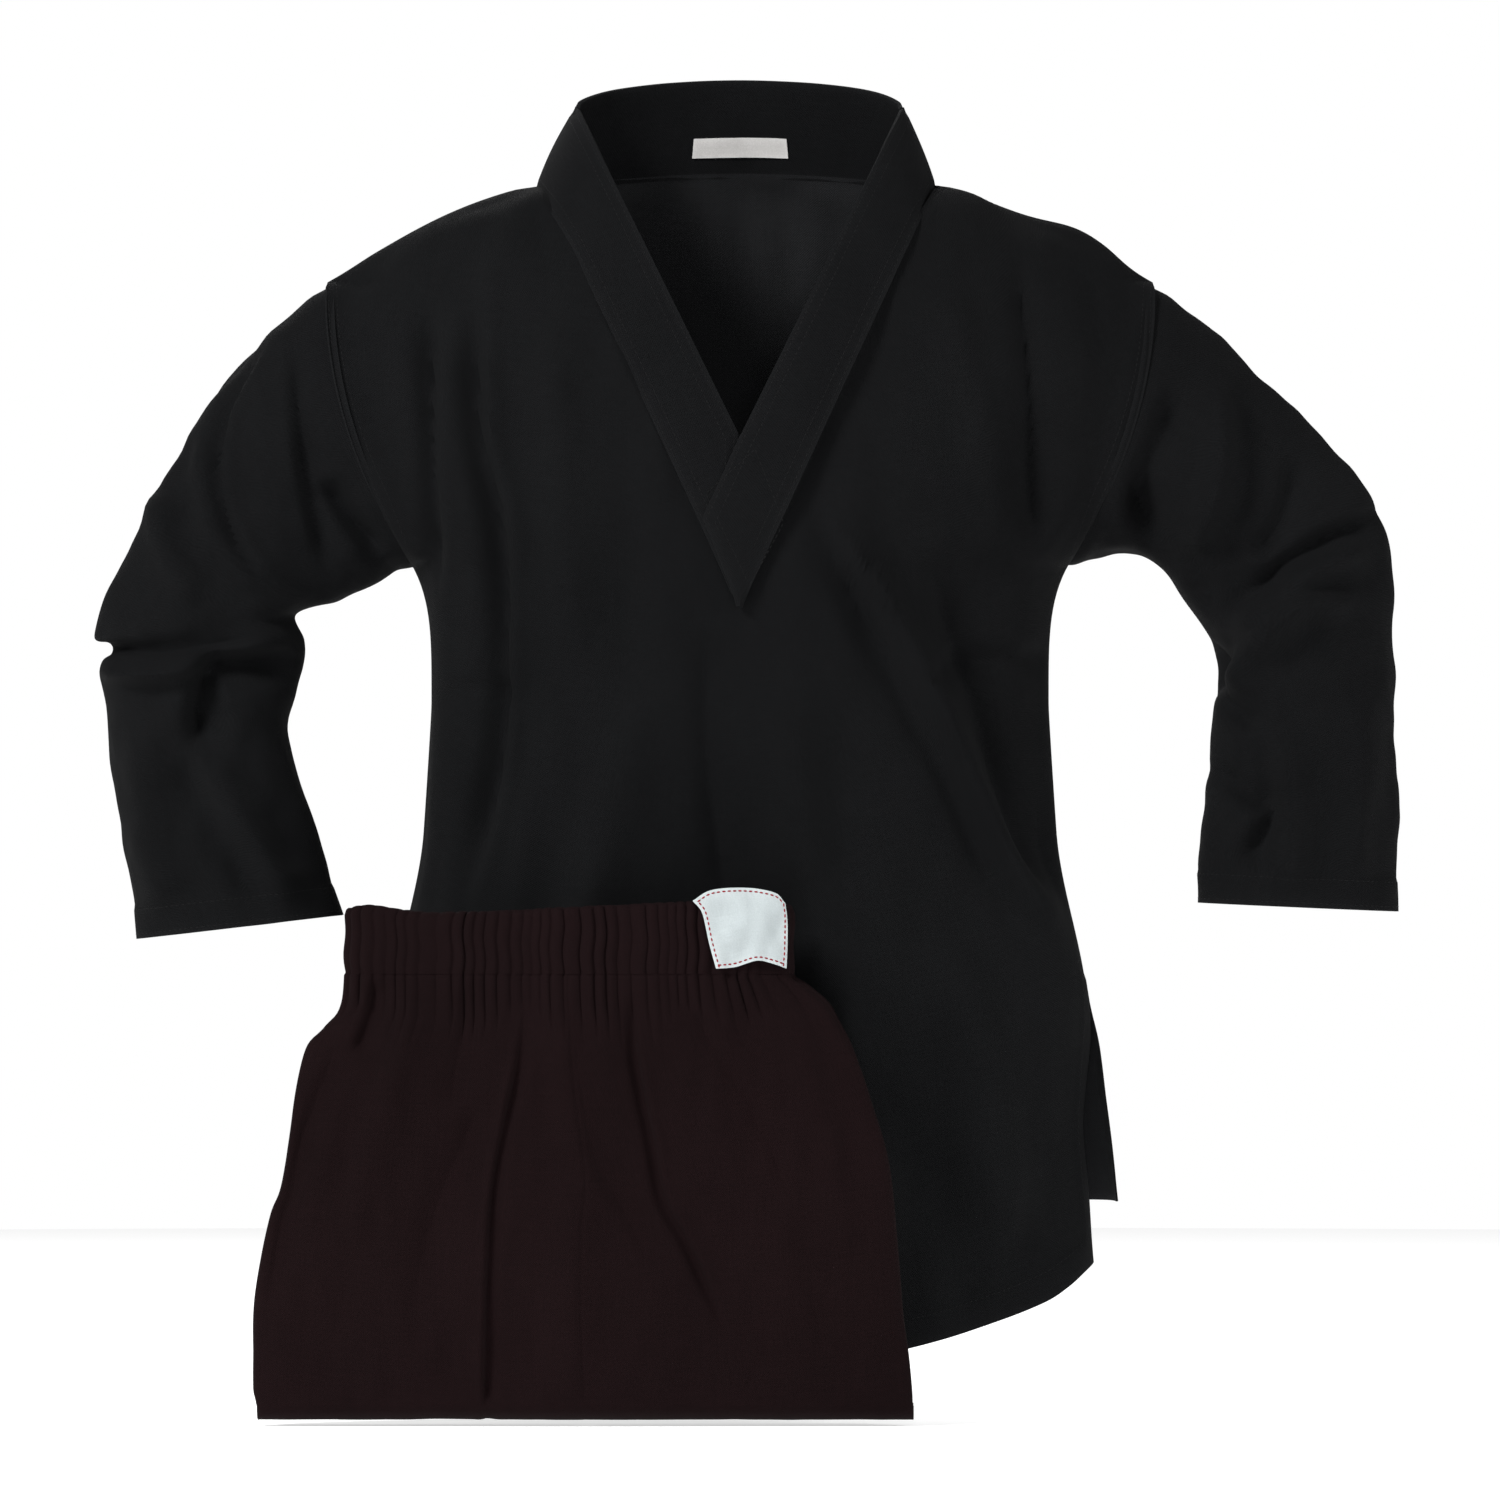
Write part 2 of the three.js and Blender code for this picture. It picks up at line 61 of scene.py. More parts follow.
# --- View, light and floor ---
# The uniform stands upright in a white room, on a plain pale floor just under its lowest fold.
# The camera is level with the middle of the uniform and far off, so that nothing looks tapered.
VIEW_X = 0.0063
VIEW_DISTANCE = 10.0
VIEW_WIDTH = 0.945
FRONT_PLANE_Y = -0.080
SENSOR_WIDTH = 36.0
LIGHT_AIM = (0, 0, -0.3)
ROOM_LIGHT = 0.20
FLOOR_GAP = 0.004


def set_inputs(node, values):
    for socket, value in values.items():
        node.inputs[socket].default_value = value


middle_z = (cad_low.z + cad_high.z) / 2
bpy.ops.object.camera_add(location=(VIEW_X, -VIEW_DISTANCE, middle_z), rotation=(math.pi / 2, 0, 0))
camera = bpy.context.object
camera.name = "camera"
camera.data.sensor_width = SENSOR_WIDTH
camera.data.lens = SENSOR_WIDTH * (VIEW_DISTANCE + FRONT_PLANE_Y) / VIEW_WIDTH
camera.data.clip_end = 60
bpy.context.scene.camera = camera
bpy.context.scene.view_settings.view_transform = "Standard"

for name, place, size, power in (
    ("key_light", (-2.2, -1.9, 1.9), 1.0, 165),
    ("side_light", (2.8, -0.9, 0.7), 0.9, 40),
    ("front_light", (0.2, -3.2, 0.3), 0.8, 20),
    ("back_light", (-0.6, 2.6, 1.6), 1.6, 34),
):
    bpy.ops.object.light_add(type="AREA", location=place)
    light = bpy.context.object
    light.name = name
    light.data.size = size
    light.data.energy = power
    light.rotation_euler = (Vector(LIGHT_AIM) - Vector(place)).to_track_quat("-Z", "Y").to_euler()

room = bpy.data.worlds.new("white_room")
bpy.context.scene.world = room
room.use_nodes = True
room_nodes = room.node_tree
background = room_nodes.nodes["Background"]
background.inputs["Color"].default_value = (1, 1, 1, 1)
seen_directly = room_nodes.nodes.new("ShaderNodeLightPath")
room_strength = room_nodes.nodes.new("ShaderNodeMapRange")
set_inputs(room_strength, {"To Min": ROOM_LIGHT, "To Max": 1.0})
room_nodes.links.new(seen_directly.outputs["Is Camera Ray"], room_strength.inputs["Value"])
room_nodes.links.new(room_strength.outputs["Result"], background.inputs["Strength"])

floor_place = (0, 0, cad_low.z - FLOOR_GAP)
bpy.ops.mesh.primitive_circle_add(vertices=96, radius=4.0, fill_type="NGON", location=floor_place)
floor = bpy.context.object
floor.name = "floor"
floor_paint = bpy.data.materials.new("floor_paint")
floor_paint.use_nodes = True
floor_shader = floor_paint.node_tree.nodes["Principled BSDF"]
set_inputs(floor_shader, {"Base Color": (0.93, 0.93, 0.93, 1), "Roughness": 0.9,
                          "Emission Color": (1, 1, 1, 1), "Emission Strength": 0.55})
floor.data.materials.append(floor_paint)

# --- Jacket front ---
# The front panel is one piece of plain black cotton canvas, cut with a deep V for the collar and
# a long curved hem. It is sewn at the shoulders and armholes, and down the sides to the vents.
JACKET_CLOTH = 0.0012
NECK_HALF = 0.125
NECK_DEPTH = 0.271
NAPE_RISE = 0.055
BACK_NECK_RISE = 0.010
SHOULDER_DROP = 0.0615
SHOULDER_ROLL = 0.110
# Puffs of cloth above the shoulder line: where each is in x, how wide it is and how far it rises.
SHOULDER_PUFFS = ((0.218, 0.028, 0.0085), (-0.188, 0.055, 0.0042))
FRONT_DEPTH = 0.078
WAIST_HALF = 0.196
WAIST_Z = -0.330
VENT_Z = -0.503
VENT_FLARE = 0.012
FLARE_FROM_Z = -0.410
FLARE_TO_Z = -0.520
FRONT_HEM_HALF = 0.2215
FRONT_HEM_SIDE_Z = -0.684
FRONT_HEM_DROP = 0.066
ARMHOLE_HALF_HEIGHT = 0.09025
ARMHOLE_HALF_DEPTH = 0.048
ARMHOLE_X = 0.235
ARMHOLE_LEAN = 0.027
ARMHOLE_BOW = 0.014
ARMHOLE_Z = -SHOULDER_DROP - ARMHOLE_HALF_HEIGHT
ARMHOLE_TOP_X = ARMHOLE_X + ARMHOLE_LEAN
UNDERARM_X = ARMHOLE_X - ARMHOLE_LEAN
UNDERARM_Z = ARMHOLE_Z - ARMHOLE_HALF_HEIGHT
UNDER_COLLAR = 0.012
# The edges of a grid of cloth: its first and last rows, and its left and right columns.
ENDS = ("first", "last")
SIDES = ("left", "right")
HEM_WIDTH = 0.020
HEM_LIFT = 0.0008
HEM_EDGE = 0.0025
SEAM_HOLD = 0.020
WEAR_REACH = 0.003
JACKET_MIDDLE = (0, 0, -0.33)
PANEL_SQUARENESS = 2.6
FOLD_STRENGTH = 2.0
# Fine creases: their spacing across and along the cloth, their height, and a place in the noise.
LARGE_CREASES = (0.060, 0.160, 0.0070, 3.1)
SMALL_CREASES = (0.022, 0.060, 0.0022, 8.7)


def smooth(share):
    t = np.clip(share, 0, 1)
    return t * t * (3 - 2 * t)


# Points from their x, y and z values, spread over one grid.
def grid_of(x, y, z):
    return np.stack(np.broadcast_arrays(x, y, z), axis=-1)


def shoulder_height(x):
    side = np.abs(x)
    nape = NAPE_RISE * (1 - (side / NECK_HALF) ** 2)
    outside = np.maximum(side - NECK_HALF, 0) / (ARMHOLE_TOP_X - NECK_HALF)
    puff = sum(rise * np.exp(-(((x - place) / width) ** 2)) for place, width, rise in SHOULDER_PUFFS)
    puff = puff * smooth((ARMHOLE_TOP_X - side) / 0.03) * smooth((side - NECK_HALF) / 0.02)
    return np.where(side < NECK_HALF, nape, puff - SHOULDER_DROP * outside**1.25)


def armhole_angle(z):
    return np.arccos(np.clip((z - ARMHOLE_Z) / ARMHOLE_HALF_HEIGHT, -1, 1))


def body_half(z):
    angle = armhole_angle(z)
    armhole = ARMHOLE_X + ARMHOLE_LEAN * np.cos(angle) + ARMHOLE_BOW * np.sin(angle) ** 2
    rise = np.clip((z - WAIST_Z) / (UNDERARM_Z - WAIST_Z), 0, 1)
    fall = np.clip((WAIST_Z - z) / (WAIST_Z - FRONT_HEM_SIDE_Z), 0, 1.2)
    side = WAIST_HALF + (UNDERARM_X - WAIST_HALF) * rise**4 + (FRONT_HEM_HALF - WAIST_HALF) * fall**1.1
    side += VENT_FLARE * smooth((FLARE_FROM_Z - z) / 0.110) * (1 - smooth((FLARE_TO_Z - z) / 0.090))
    return np.where(z > UNDERARM_Z, armhole, side)


# How far a panel stands off the middle plane of the body.
def stand_off(x, z, half, depth):
    share = np.clip(np.abs(x) / half, 0, 1)
    fullness = np.sqrt(1 - share**PANEL_SQUARENESS)
    drop = np.clip((shoulder_height(x) - z) / SHOULDER_ROLL, 0, 1)
    roll = np.sqrt(1 - (1 - drop) ** 2)
    edge = np.where(z > UNDERARM_Z, ARMHOLE_HALF_DEPTH * np.sin(armhole_angle(z)), 0)
    return 0.0002 + depth * roll * fullness + edge * (1 - fullness) ** 2


def column_shares(count):
    across = np.linspace(-1, 1, count)
    neck_share = NECK_HALF / ARMHOLE_TOP_X
    in_neck = 3 / 7
    outer = np.sin(np.pi / 2 * np.clip((np.abs(across) - in_neck) / (1 - in_neck), 0, 1))
    outer_share = neck_share + (1 - neck_share) * outer
    inner_share = neck_share * np.abs(across) / in_neck
    return np.sign(across) * np.where(np.abs(across) < in_neck, inner_share, outer_share)


# How far up a panel each row is: even up to the underarm, then closer together at both ends of the
# armhole.
def row_rises(count, bottom, underarm_share):
    v = np.linspace(0, 1, count)
    angle = np.pi * (1 - np.clip((v - underarm_share) / (1 - underarm_share), 0, 1))
    armhole = ARMHOLE_Z + ARMHOLE_HALF_HEIGHT * (0.7 * np.cos(angle) + 0.3 * (1 - 2 * angle / np.pi))
    side = bottom + (UNDERARM_Z - bottom) * v / underarm_share
    height = np.where(v < underarm_share, side, armhole)
    return (height - bottom) / (-SHOULDER_DROP - bottom)


# A line through given points, made smooth, as count points.
def smooth_line(route, count):
    route = np.array(route, float)
    knots = np.vstack([2 * route[0] - route[1], route, 2 * route[-1] - route[-2]])
    place = np.linspace(0, len(route) - 1, count)
    first = np.minimum(place.astype(int), len(route) - 2)
    t = (place - first)[:, None]
    a, b, c, d = (knots[first + k] for k in range(4))
    return 0.5 * (2 * b + (c - a) * t + (2 * a - 5 * b + 4 * c - d) * t**2 + (3 * b - a - 3 * c + d) * t**3)


# Height of the folds at each point of the cloth. A fold is a route in x and z, with its width, its
# height (a crease has a negative one) and how far it leans over to one side.
def fold_height(points, folds):
    x, z = points[..., 0], points[..., 2]
    height = np.zeros(x.shape)
    for route, width, lift, lean in folds:
        line = smooth_line(route, 6 * len(route))
        steps = np.diff(line, axis=0)
        lengths = np.linalg.norm(steps, axis=1)
        starts = np.concatenate([[0], np.cumsum(lengths)])
        nearest = np.full(x.shape, 9.0)
        side = np.ones(x.shape)
        along = np.zeros(x.shape)
        for start, step, length, before in zip(line, steps, lengths, starts):
            share = np.clip(((x - start[0]) * step[0] + (z - start[1]) * step[1]) / length**2, 0, 1)
            off_x = x - start[0] - share * step[0]
            off_z = z - start[1] - share * step[1]
            distance = np.hypot(off_x, off_z)
            closer = distance < nearest
            nearest = np.where(closer, distance, nearest)
            side = np.where(closer, np.sign(step[0] * off_z - step[1] * off_x), side)
            along = np.where(closer, before + share * length, along)
        along /= starts[-1]
        taper = smooth(along / 0.22) * smooth((1 - along) / 0.22)
        t = side * nearest / width
        crest = np.exp(-t * t) if lift > 0 else np.exp(-np.abs(t) ** 1.25)
        height += lift * taper * (crest + lean * t * np.exp(-t * t / 2))
    return height


# Small uneven waves in the cloth, longer one way than the other.
def crumple(points, across, along, height, seed):
    places = (points / np.array((across, across, along)) + seed).reshape(-1, 3)
    values = [noise.noise(Vector(place)) for place in places]
    return height * np.array(values).reshape(points.shape[:-1])


def grid_normals(points, inside, closed=False):
    wrapped = np.concatenate([points[:, -1:], points, points[:, :1]], axis=1) if closed else points
    normals = np.cross(np.gradient(wrapped, axis=1), np.gradient(wrapped, axis=0))
    normals = normals[:, 1:-1] if closed else normals
    normals /= np.maximum(np.linalg.norm(normals, axis=2, keepdims=True), 1e-12)
    return normals * np.sign(np.sum(normals * (points - np.array(inside))))


# Distances across and along the cloth at each point of its grid.
def cloth_measure(points, closed=False):
    wrapped = np.concatenate([points, points[:, :1]], axis=1) if closed else points
    steps_across = np.linalg.norm(np.diff(wrapped, axis=1), axis=2)
    across = np.concatenate([np.zeros((len(points), 1)), np.cumsum(steps_across, axis=1)], axis=1)
    steps_along = np.linalg.norm(np.diff(wrapped, axis=0), axis=2)
    along = np.concatenate([np.zeros((1, wrapped.shape[1])), np.cumsum(steps_along, axis=0)], axis=0)
    return across, along


# Distance from each point to the nearest of the named edges of its cloth.
def edge_distance(points, edges, closed=False):
    across, along = cloth_measure(points, closed)
    if closed:
        across, along = across[:, :-1], along[:, :-1]
    lengths = {
        "first": along,
        "last": along[-1:] - along,
        "left": across,
        "right": across[:, -1:] - across,
    }
    return np.minimum.reduce([lengths[edge] for edge in edges]) if edges else np.full(points.shape[:2], 9.0)


# A sheet of cloth from a grid of points on its outer face, with a map of its threads in metres and
# a mark of how worn each point is, given its thickness and smoothed. A second, paler material can
# cover its inner face as painted light.
def cloth_sheet(name, points, inside, cloth, thickness, closed=False, worn=(), bevel=0.0, inner_painted_light=None):
    rows, columns = points.shape[:2]
    index = np.arange(rows * columns).reshape(rows, columns)
    left = index if closed else index[:, :-1]
    right = np.roll(index, -1, axis=1) if closed else index[:, 1:]
    faces = np.stack([left[:-1], right[:-1], right[1:], left[1:]], axis=-1).reshape(-1, 4)
    across, along = cloth_measure(points, closed)
    across = across - across[:, columns // 2, None]
    threads = np.stack([across, along], axis=-1)
    corners = np.stack([threads[:-1, :-1], threads[:-1, 1:], threads[1:, 1:], threads[1:, :-1]], axis=-2)
    corners = corners.reshape(-1, 4, 2)
    flat = points.reshape(-1, 3)
    facing = np.cross(flat[faces[:, 1]] - flat[faces[:, 0]], flat[faces[:, 3]] - flat[faces[:, 0]])
    normals = grid_normals(points, inside, closed).reshape(-1, 3)
    if np.sum(facing * normals[faces[:, 0]]) < 0:
        faces = faces[:, ::-1]
        corners = corners[:, ::-1]
    mesh = bpy.data.meshes.new(name)
    mesh.from_pydata(flat.tolist(), [], faces.tolist())
    thread_map = mesh.uv_layers.new(name="threads")
    thread_map.data.foreach_set("uv", corners.astype(np.float32).ravel())
    wear = mesh.attributes.new("wear", "FLOAT", "POINT")
    wear_values = np.exp(-edge_distance(points, worn, closed) / WEAR_REACH)
    wear.data.foreach_set("value", wear_values.astype(np.float32).ravel())
    piece = bpy.data.objects.new(name, mesh)
    bpy.context.scene.collection.objects.link(piece)
    mesh.materials.append(cloth)
    if inner_painted_light:
        mesh.materials.append(inner_painted_light)
    bpy.ops.object.select_all(action="DESELECT")
    piece.select_set(True)
    bpy.context.view_layer.objects.active = piece
    body = piece.modifiers.new("thickness", "SOLIDIFY")
    body.thickness = thickness
    body.offset = -1
    body.material_offset = 1 if inner_painted_light else 0
    bpy.ops.object.modifier_apply(modifier="thickness")
    if bevel:
        rounding = piece.modifiers.new("rounding", "BEVEL")
        rounding.width = bevel
        rounding.segments = 2
        rounding.limit_method = "ANGLE"
        rounding.angle_limit = math.radians(50)
        bpy.ops.object.modifier_apply(modifier="rounding")
    bpy.ops.object.shade_smooth_by_angle(angle=math.radians(55))
    return piece


# Raises the folds, the fine creases and the turned hems on a front or back panel. The seams hold
# the cloth flat at the neck, armholes and sides, and below the vents the edges are free.
def raise_panel(points, folds):
    z = points[..., 2]
    from_sides = edge_distance(points, SIDES)
    freed = SEAM_HOLD * smooth((VENT_Z - z) / 0.060)
    from_neck = edge_distance(points, ("last",))
    lift = FOLD_STRENGTH * fold_height(points, folds)
    lift += crumple(points, *LARGE_CREASES) + crumple(points, *SMALL_CREASES)
    lift *= smooth((from_sides + freed) / SEAM_HOLD) * smooth(from_neck / SEAM_HOLD)
    from_hem = np.minimum(edge_distance(points, ("first",)), from_sides + 1.0 * (z > VENT_Z))
    lift += HEM_LIFT * smooth((HEM_WIDTH - from_hem) / HEM_EDGE)
    return points + lift[..., None] * grid_normals(points, JACKET_MIDDLE)


def v_line(x):
    side = np.abs(x)
    seam = -NECK_DEPTH * (1 - side / NECK_HALF)
    hidden = UNDER_COLLAR * np.clip(6 * (1 - side / NECK_HALF), 0, 1)
    return np.where(side < NECK_HALF, seam + hidden, shoulder_height(x))


front_shares = column_shares(157)
front_tops = v_line(front_shares * ARMHOLE_TOP_X)
for _ in range(20):
    front_tops = v_line(front_shares * body_half(front_tops))
hem_rise = 0.78 * np.abs(front_shares) ** 1.7 + 0.22 * np.abs(front_shares) ** 12
front_hems = FRONT_HEM_SIDE_Z - FRONT_HEM_DROP * (1 - hem_rise)
front_z = front_hems + (front_tops - front_hems) * row_rises(150, FRONT_HEM_SIDE_Z, 0.6)[:, None]
front_half = body_half(front_z)
front_x = front_shares * front_half
front_points = grid_of(front_x, -stand_off(front_x, front_z, front_half, FRONT_DEPTH), front_z)

FRONT_FOLDS = [
    ([(-0.196, -0.07), (-0.195, -0.15), (-0.194, -0.2), (-0.191, -0.27)], 0.0055, -0.0045, -0.5),
    ([(-0.164, -0.04), (-0.164, -0.157), (-0.151, -0.214), (-0.149, -0.289), (-0.153, -0.365),
      (-0.176, -0.47)], 0.006, -0.005, -0.9),
    ([(-0.12, -0.06), (-0.118, -0.18), (-0.108, -0.29), (-0.112, -0.42)], 0.02, 0.004, 0.2),
    ([(0.05, -0.185), (0.069, -0.231), (0.091, -0.27), (0.126, -0.34), (0.164, -0.421),
      (0.212, -0.5)], 0.0095, 0.0075, 0.7),
    ([(0.112, -0.225), (0.13, -0.262), (0.158, -0.34), (0.196, -0.465)], 0.015, -0.0085, 0.3),
    ([(0.176, -0.037), (0.184, -0.13), (0.19, -0.245)], 0.008, -0.005, -0.3),
    ([(0.128, -0.06), (0.15, -0.15), (0.166, -0.255)], 0.014, 0.004, 0.1),
    ([(-0.06, -0.3), (-0.08, -0.4), (-0.11, -0.52), (-0.13, -0.65)], 0.018, 0.0045, 0.3),
    ([(0.03, -0.3), (0.042, -0.43), (0.072, -0.56), (0.098, -0.7)], 0.02, 0.006, -0.3),
    ([(0.125, -0.47), (0.15, -0.56), (0.168, -0.68)], 0.016, 0.0055, 0.3),
    ([(-0.02, -0.27), (-0.022, -0.36), (-0.006, -0.47)], 0.012, -0.0035, 0.3),
    ([(0.205, -0.3), (0.15, -0.3), (0.11, -0.318)], 0.007, -0.0035, 0.4),
    ([(-0.198, -0.33), (-0.16, -0.322), (-0.13, -0.334)], 0.006, -0.003, 0.4),
]
front_points = raise_panel(front_points, FRONT_FOLDS)


# The woven look: over-and-under threads, uneven thicker threads both ways, fuzz and slow fading.
# The over-and-under term also paints shade into the hollows of the weave and light onto its crests.
def build_weave():
    group = bpy.data.node_groups.new("woven_cloth", "ShaderNodeTree")
    for name, kind, value in (
        ("Threads", "Vector", (0, 0, 0)),
        ("Place", "Vector", (0, 0, 0)),
        ("Threads per metre", "Float", 1300),
        ("Wear", "Float", 0),
        ("Deep colour", "Color", (0, 0, 0, 1)),
        ("Raised colour", "Color", (1, 1, 1, 1)),
        ("Unevenness", "Float", 1),
    ):
        socket = group.interface.new_socket(name, in_out="INPUT", socket_type=f"NodeSocket{kind}")
        socket.default_value = value
    for name, kind in (("Colour", "Color"), ("Height", "Float"), ("Roughness", "Float")):
        group.interface.new_socket(name, in_out="OUTPUT", socket_type=f"NodeSocket{kind}")
    nodes, links = group.nodes, group.links
    given = nodes.new("NodeGroupInput")
    made = nodes.new("NodeGroupOutput")

    def maths(operation, first, second=0.0):
        node = nodes.new("ShaderNodeMath")
        node.operation = operation
        for socket, value in zip(node.inputs, (first, second)):
            if isinstance(value, (int, float)):
                socket.default_value = value
            else:
                links.new(value, socket)
        return node.outputs[0]

    def cloudy(vector, stretch, detail):
        scaled = nodes.new("ShaderNodeVectorMath")
        scaled.operation = "MULTIPLY"
        scaled.inputs[1].default_value = stretch
        links.new(vector, scaled.inputs[0])
        texture = nodes.new("ShaderNodeTexNoise")
        set_inputs(texture, {"Scale": 1.0, "Detail": detail})
        links.new(scaled.outputs[0], texture.inputs["Vector"])
        return maths("SUBTRACT", texture.outputs["Fac"], 0.5)

    split = nodes.new("ShaderNodeSeparateXYZ")
    links.new(given.outputs["Threads"], split.inputs[0])
    turn = maths("MULTIPLY", given.outputs["Threads per metre"], math.pi)
    over = maths("SINE", maths("MULTIPLY", split.outputs["X"], turn))
    under = maths("SINE", maths("MULTIPLY", split.outputs["Y"], turn))
    weave = maths("MULTIPLY", over, under)
    warp = cloudy(given.outputs["Threads"], (900, 35, 1), 2)
    weft = cloudy(given.outputs["Threads"], (35, 900, 1), 2)
    slubs = maths("ADD", warp, weft)
    fuzz = cloudy(given.outputs["Place"], (1600, 1600, 1600), 3)
    fading = cloudy(given.outputs["Place"], (11, 11, 7), 5)
    patches = maths("ADD", maths("MULTIPLY", slubs, 0.35), maths("MULTIPLY", fading, 0.8))
    uneven = maths("MULTIPLY", patches, given.outputs["Unevenness"])
    # Painted shade and light: the weave's hollows darker and its crests lighter, added to the cloth's own
    # uneven tone, fuzz and wear.
    share = maths("ADD", maths("ADD", 0.45, maths("MULTIPLY", weave, 0.22)), uneven)
    share = maths("ADD", share, maths("ADD", fuzz, maths("MULTIPLY", given.outputs["Wear"], 0.45)))
    mix = nodes.new("ShaderNodeMix")
    mix.data_type = "RGBA"
    mix.clamp_factor = True
    links.new(share, mix.inputs["Factor"])
    links.new(given.outputs["Deep colour"], mix.inputs["A"])
    links.new(given.outputs["Raised colour"], mix.inputs["B"])
    links.new(mix.outputs["Result"], made.inputs["Colour"])
    height = maths("ADD", maths("MULTIPLY", weave, 0.5), maths("MULTIPLY", slubs, 0.45))
    links.new(maths("ADD", height, maths("MULTIPLY", fuzz, 0.9)), made.inputs["Height"])
    links.new(maths("ADD", 0.86, maths("MULTIPLY", fuzz, 0.25)), made.inputs["Roughness"])
    return group


weave_group = build_weave()


# A new cloth or thread material: its nodes and links, and the shader, bump and coordinates in it.
def start_material(name, sheen, bump, bump_depth):
    material = bpy.data.materials.new(name)
    material.use_nodes = True
    nodes, links = material.node_tree.nodes, material.node_tree.links
    shader = nodes["Principled BSDF"]
    set_inputs(shader, {"Specular IOR Level": 0.05, "Sheen Weight": sheen})
    surface = nodes.new("ShaderNodeBump")
    set_inputs(surface, {"Strength": bump, "Distance": bump_depth})
    links.new(surface.outputs["Normal"], shader.inputs["Normal"])
    return material, nodes, links, shader, surface, nodes.new("ShaderNodeTexCoord")


def cloth_material(name, deep, raised, threads, sheen, bump, unevenness=1.0):
    material, nodes, links, shader, surface, coordinates = start_material(name, sheen, bump, 0.0004)
    weave = nodes.new("ShaderNodeGroup")
    weave.node_tree = weave_group
    wear = nodes.new("ShaderNodeAttribute")
    wear.attribute_name = "wear"
    for socket, source in (("Threads", coordinates.outputs["UV"]), ("Place", coordinates.outputs["Object"]),
                           ("Wear", wear.outputs["Fac"])):
        links.new(source, weave.inputs[socket])
    set_inputs(weave, {"Threads per metre": threads, "Deep colour": (*deep, 1),
                       "Raised colour": (*raised, 1), "Unevenness": unevenness})
    links.new(weave.outputs["Height"], surface.inputs["Height"])
    links.new(weave.outputs["Colour"], shader.inputs["Base Color"])
    links.new(weave.outputs["Roughness"], shader.inputs["Roughness"])
    shader.inputs["Sheen Roughness"].default_value = 0.45
    return material


CANVAS_THREADS = 1250
COTTON_SHEEN = 0.006
black_canvas = cloth_material("black_canvas", (0.0021, 0.0022, 0.0025), (0.0064, 0.0066, 0.0071),
                              CANVAS_THREADS, COTTON_SHEEN, 0.7)

jacket_front = cloth_sheet("jacket_front_panel", front_points, JACKET_MIDDLE, black_canvas, JACKET_CLOTH,
                           worn=("first", *SIDES))
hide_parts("jacket_front")
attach(jacket_front, "jacket")

# --- Jacket back and its skirt ---
# The back panel is one piece of the same canvas from the shoulders to a straight hem. Below the
# side vents its skirt is free, wider than the front, and swings at the height of the vents.
BACK_DEPTH = 0.072
BACK_HEM_Z = -0.645
BACK_SKIRT_FLARE = 0.022

back_shares = column_shares(141)
back_neck = BACK_NECK_RISE * (1 - (np.abs(back_shares) * ARMHOLE_TOP_X / NECK_HALF) ** 2)
back_outer = shoulder_height(back_shares * ARMHOLE_TOP_X)
back_tops = np.where(np.abs(back_shares) * ARMHOLE_TOP_X < NECK_HALF, back_neck, back_outer)
back_z = BACK_HEM_Z + (back_tops - BACK_HEM_Z) * row_rises(140, BACK_HEM_Z, 0.6)[:, None]
skirt_half = body_half(VENT_Z) + BACK_SKIRT_FLARE * (VENT_Z - back_z) / (VENT_Z - BACK_HEM_Z)
back_half = np.where(back_z > VENT_Z, body_half(back_z), skirt_half)
back_x = back_shares * back_half
back_points = grid_of(back_x, stand_off(back_x, back_z, back_half, BACK_DEPTH), back_z)
BACK_FOLDS = [
    ([(-0.15, -0.06), (-0.158, -0.17), (-0.15, -0.3), (-0.13, -0.42)], 0.012, -0.006, 0.3),
    ([(0.15, -0.06), (0.16, -0.18), (0.15, -0.31), (0.128, -0.44)], 0.012, -0.006, -0.3),
    ([(-0.06, -0.02), (-0.05, -0.14), (-0.062, -0.28), (-0.05, -0.42)], 0.02, 0.005, 0.2),
    ([(0.07, -0.03), (0.052, -0.16), (0.058, -0.33), (0.04, -0.5)], 0.02, 0.005, -0.2),
    ([(-0.11, -0.4), (-0.13, -0.5), (-0.14, -0.635)], 0.018, 0.006, 0.2),
    ([(0.105, -0.42), (0.118, -0.52), (0.136, -0.638)], 0.018, 0.006, -0.2),
    ([(0.0, -0.43), (0.006, -0.54), (-0.006, -0.64)], 0.02, -0.005, 0.1),
    ([(-0.215, -0.225), (-0.165, -0.25), (-0.1, -0.262)], 0.009, -0.004, 0.3),
    ([(0.215, -0.225), (0.165, -0.246), (0.105, -0.256)], 0.009, -0.004, -0.3),
]
back_points = raise_panel(back_points, BACK_FOLDS)

# The inside of the back panel is a much paler copy of the canvas. This is painted light where little light
# reaches inside the jacket, and partly the paler wrong side of the cloth.
canvas_inside_painted_light = cloth_material("canvas_inside_painted_light", (0.0085, 0.0088, 0.0095), (0.0205, 0.0210, 0.0223),
                               CANVAS_THREADS, COTTON_SHEEN, 0.6)
jacket_back = cloth_sheet("jacket_back_panel", back_points, JACKET_MIDDLE, black_canvas, JACKET_CLOTH,
                          worn=("first", *SIDES), inner_painted_light=canvas_inside_painted_light)
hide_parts("jacket_back", "jacket_back_skirt")
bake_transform(jacket_back)

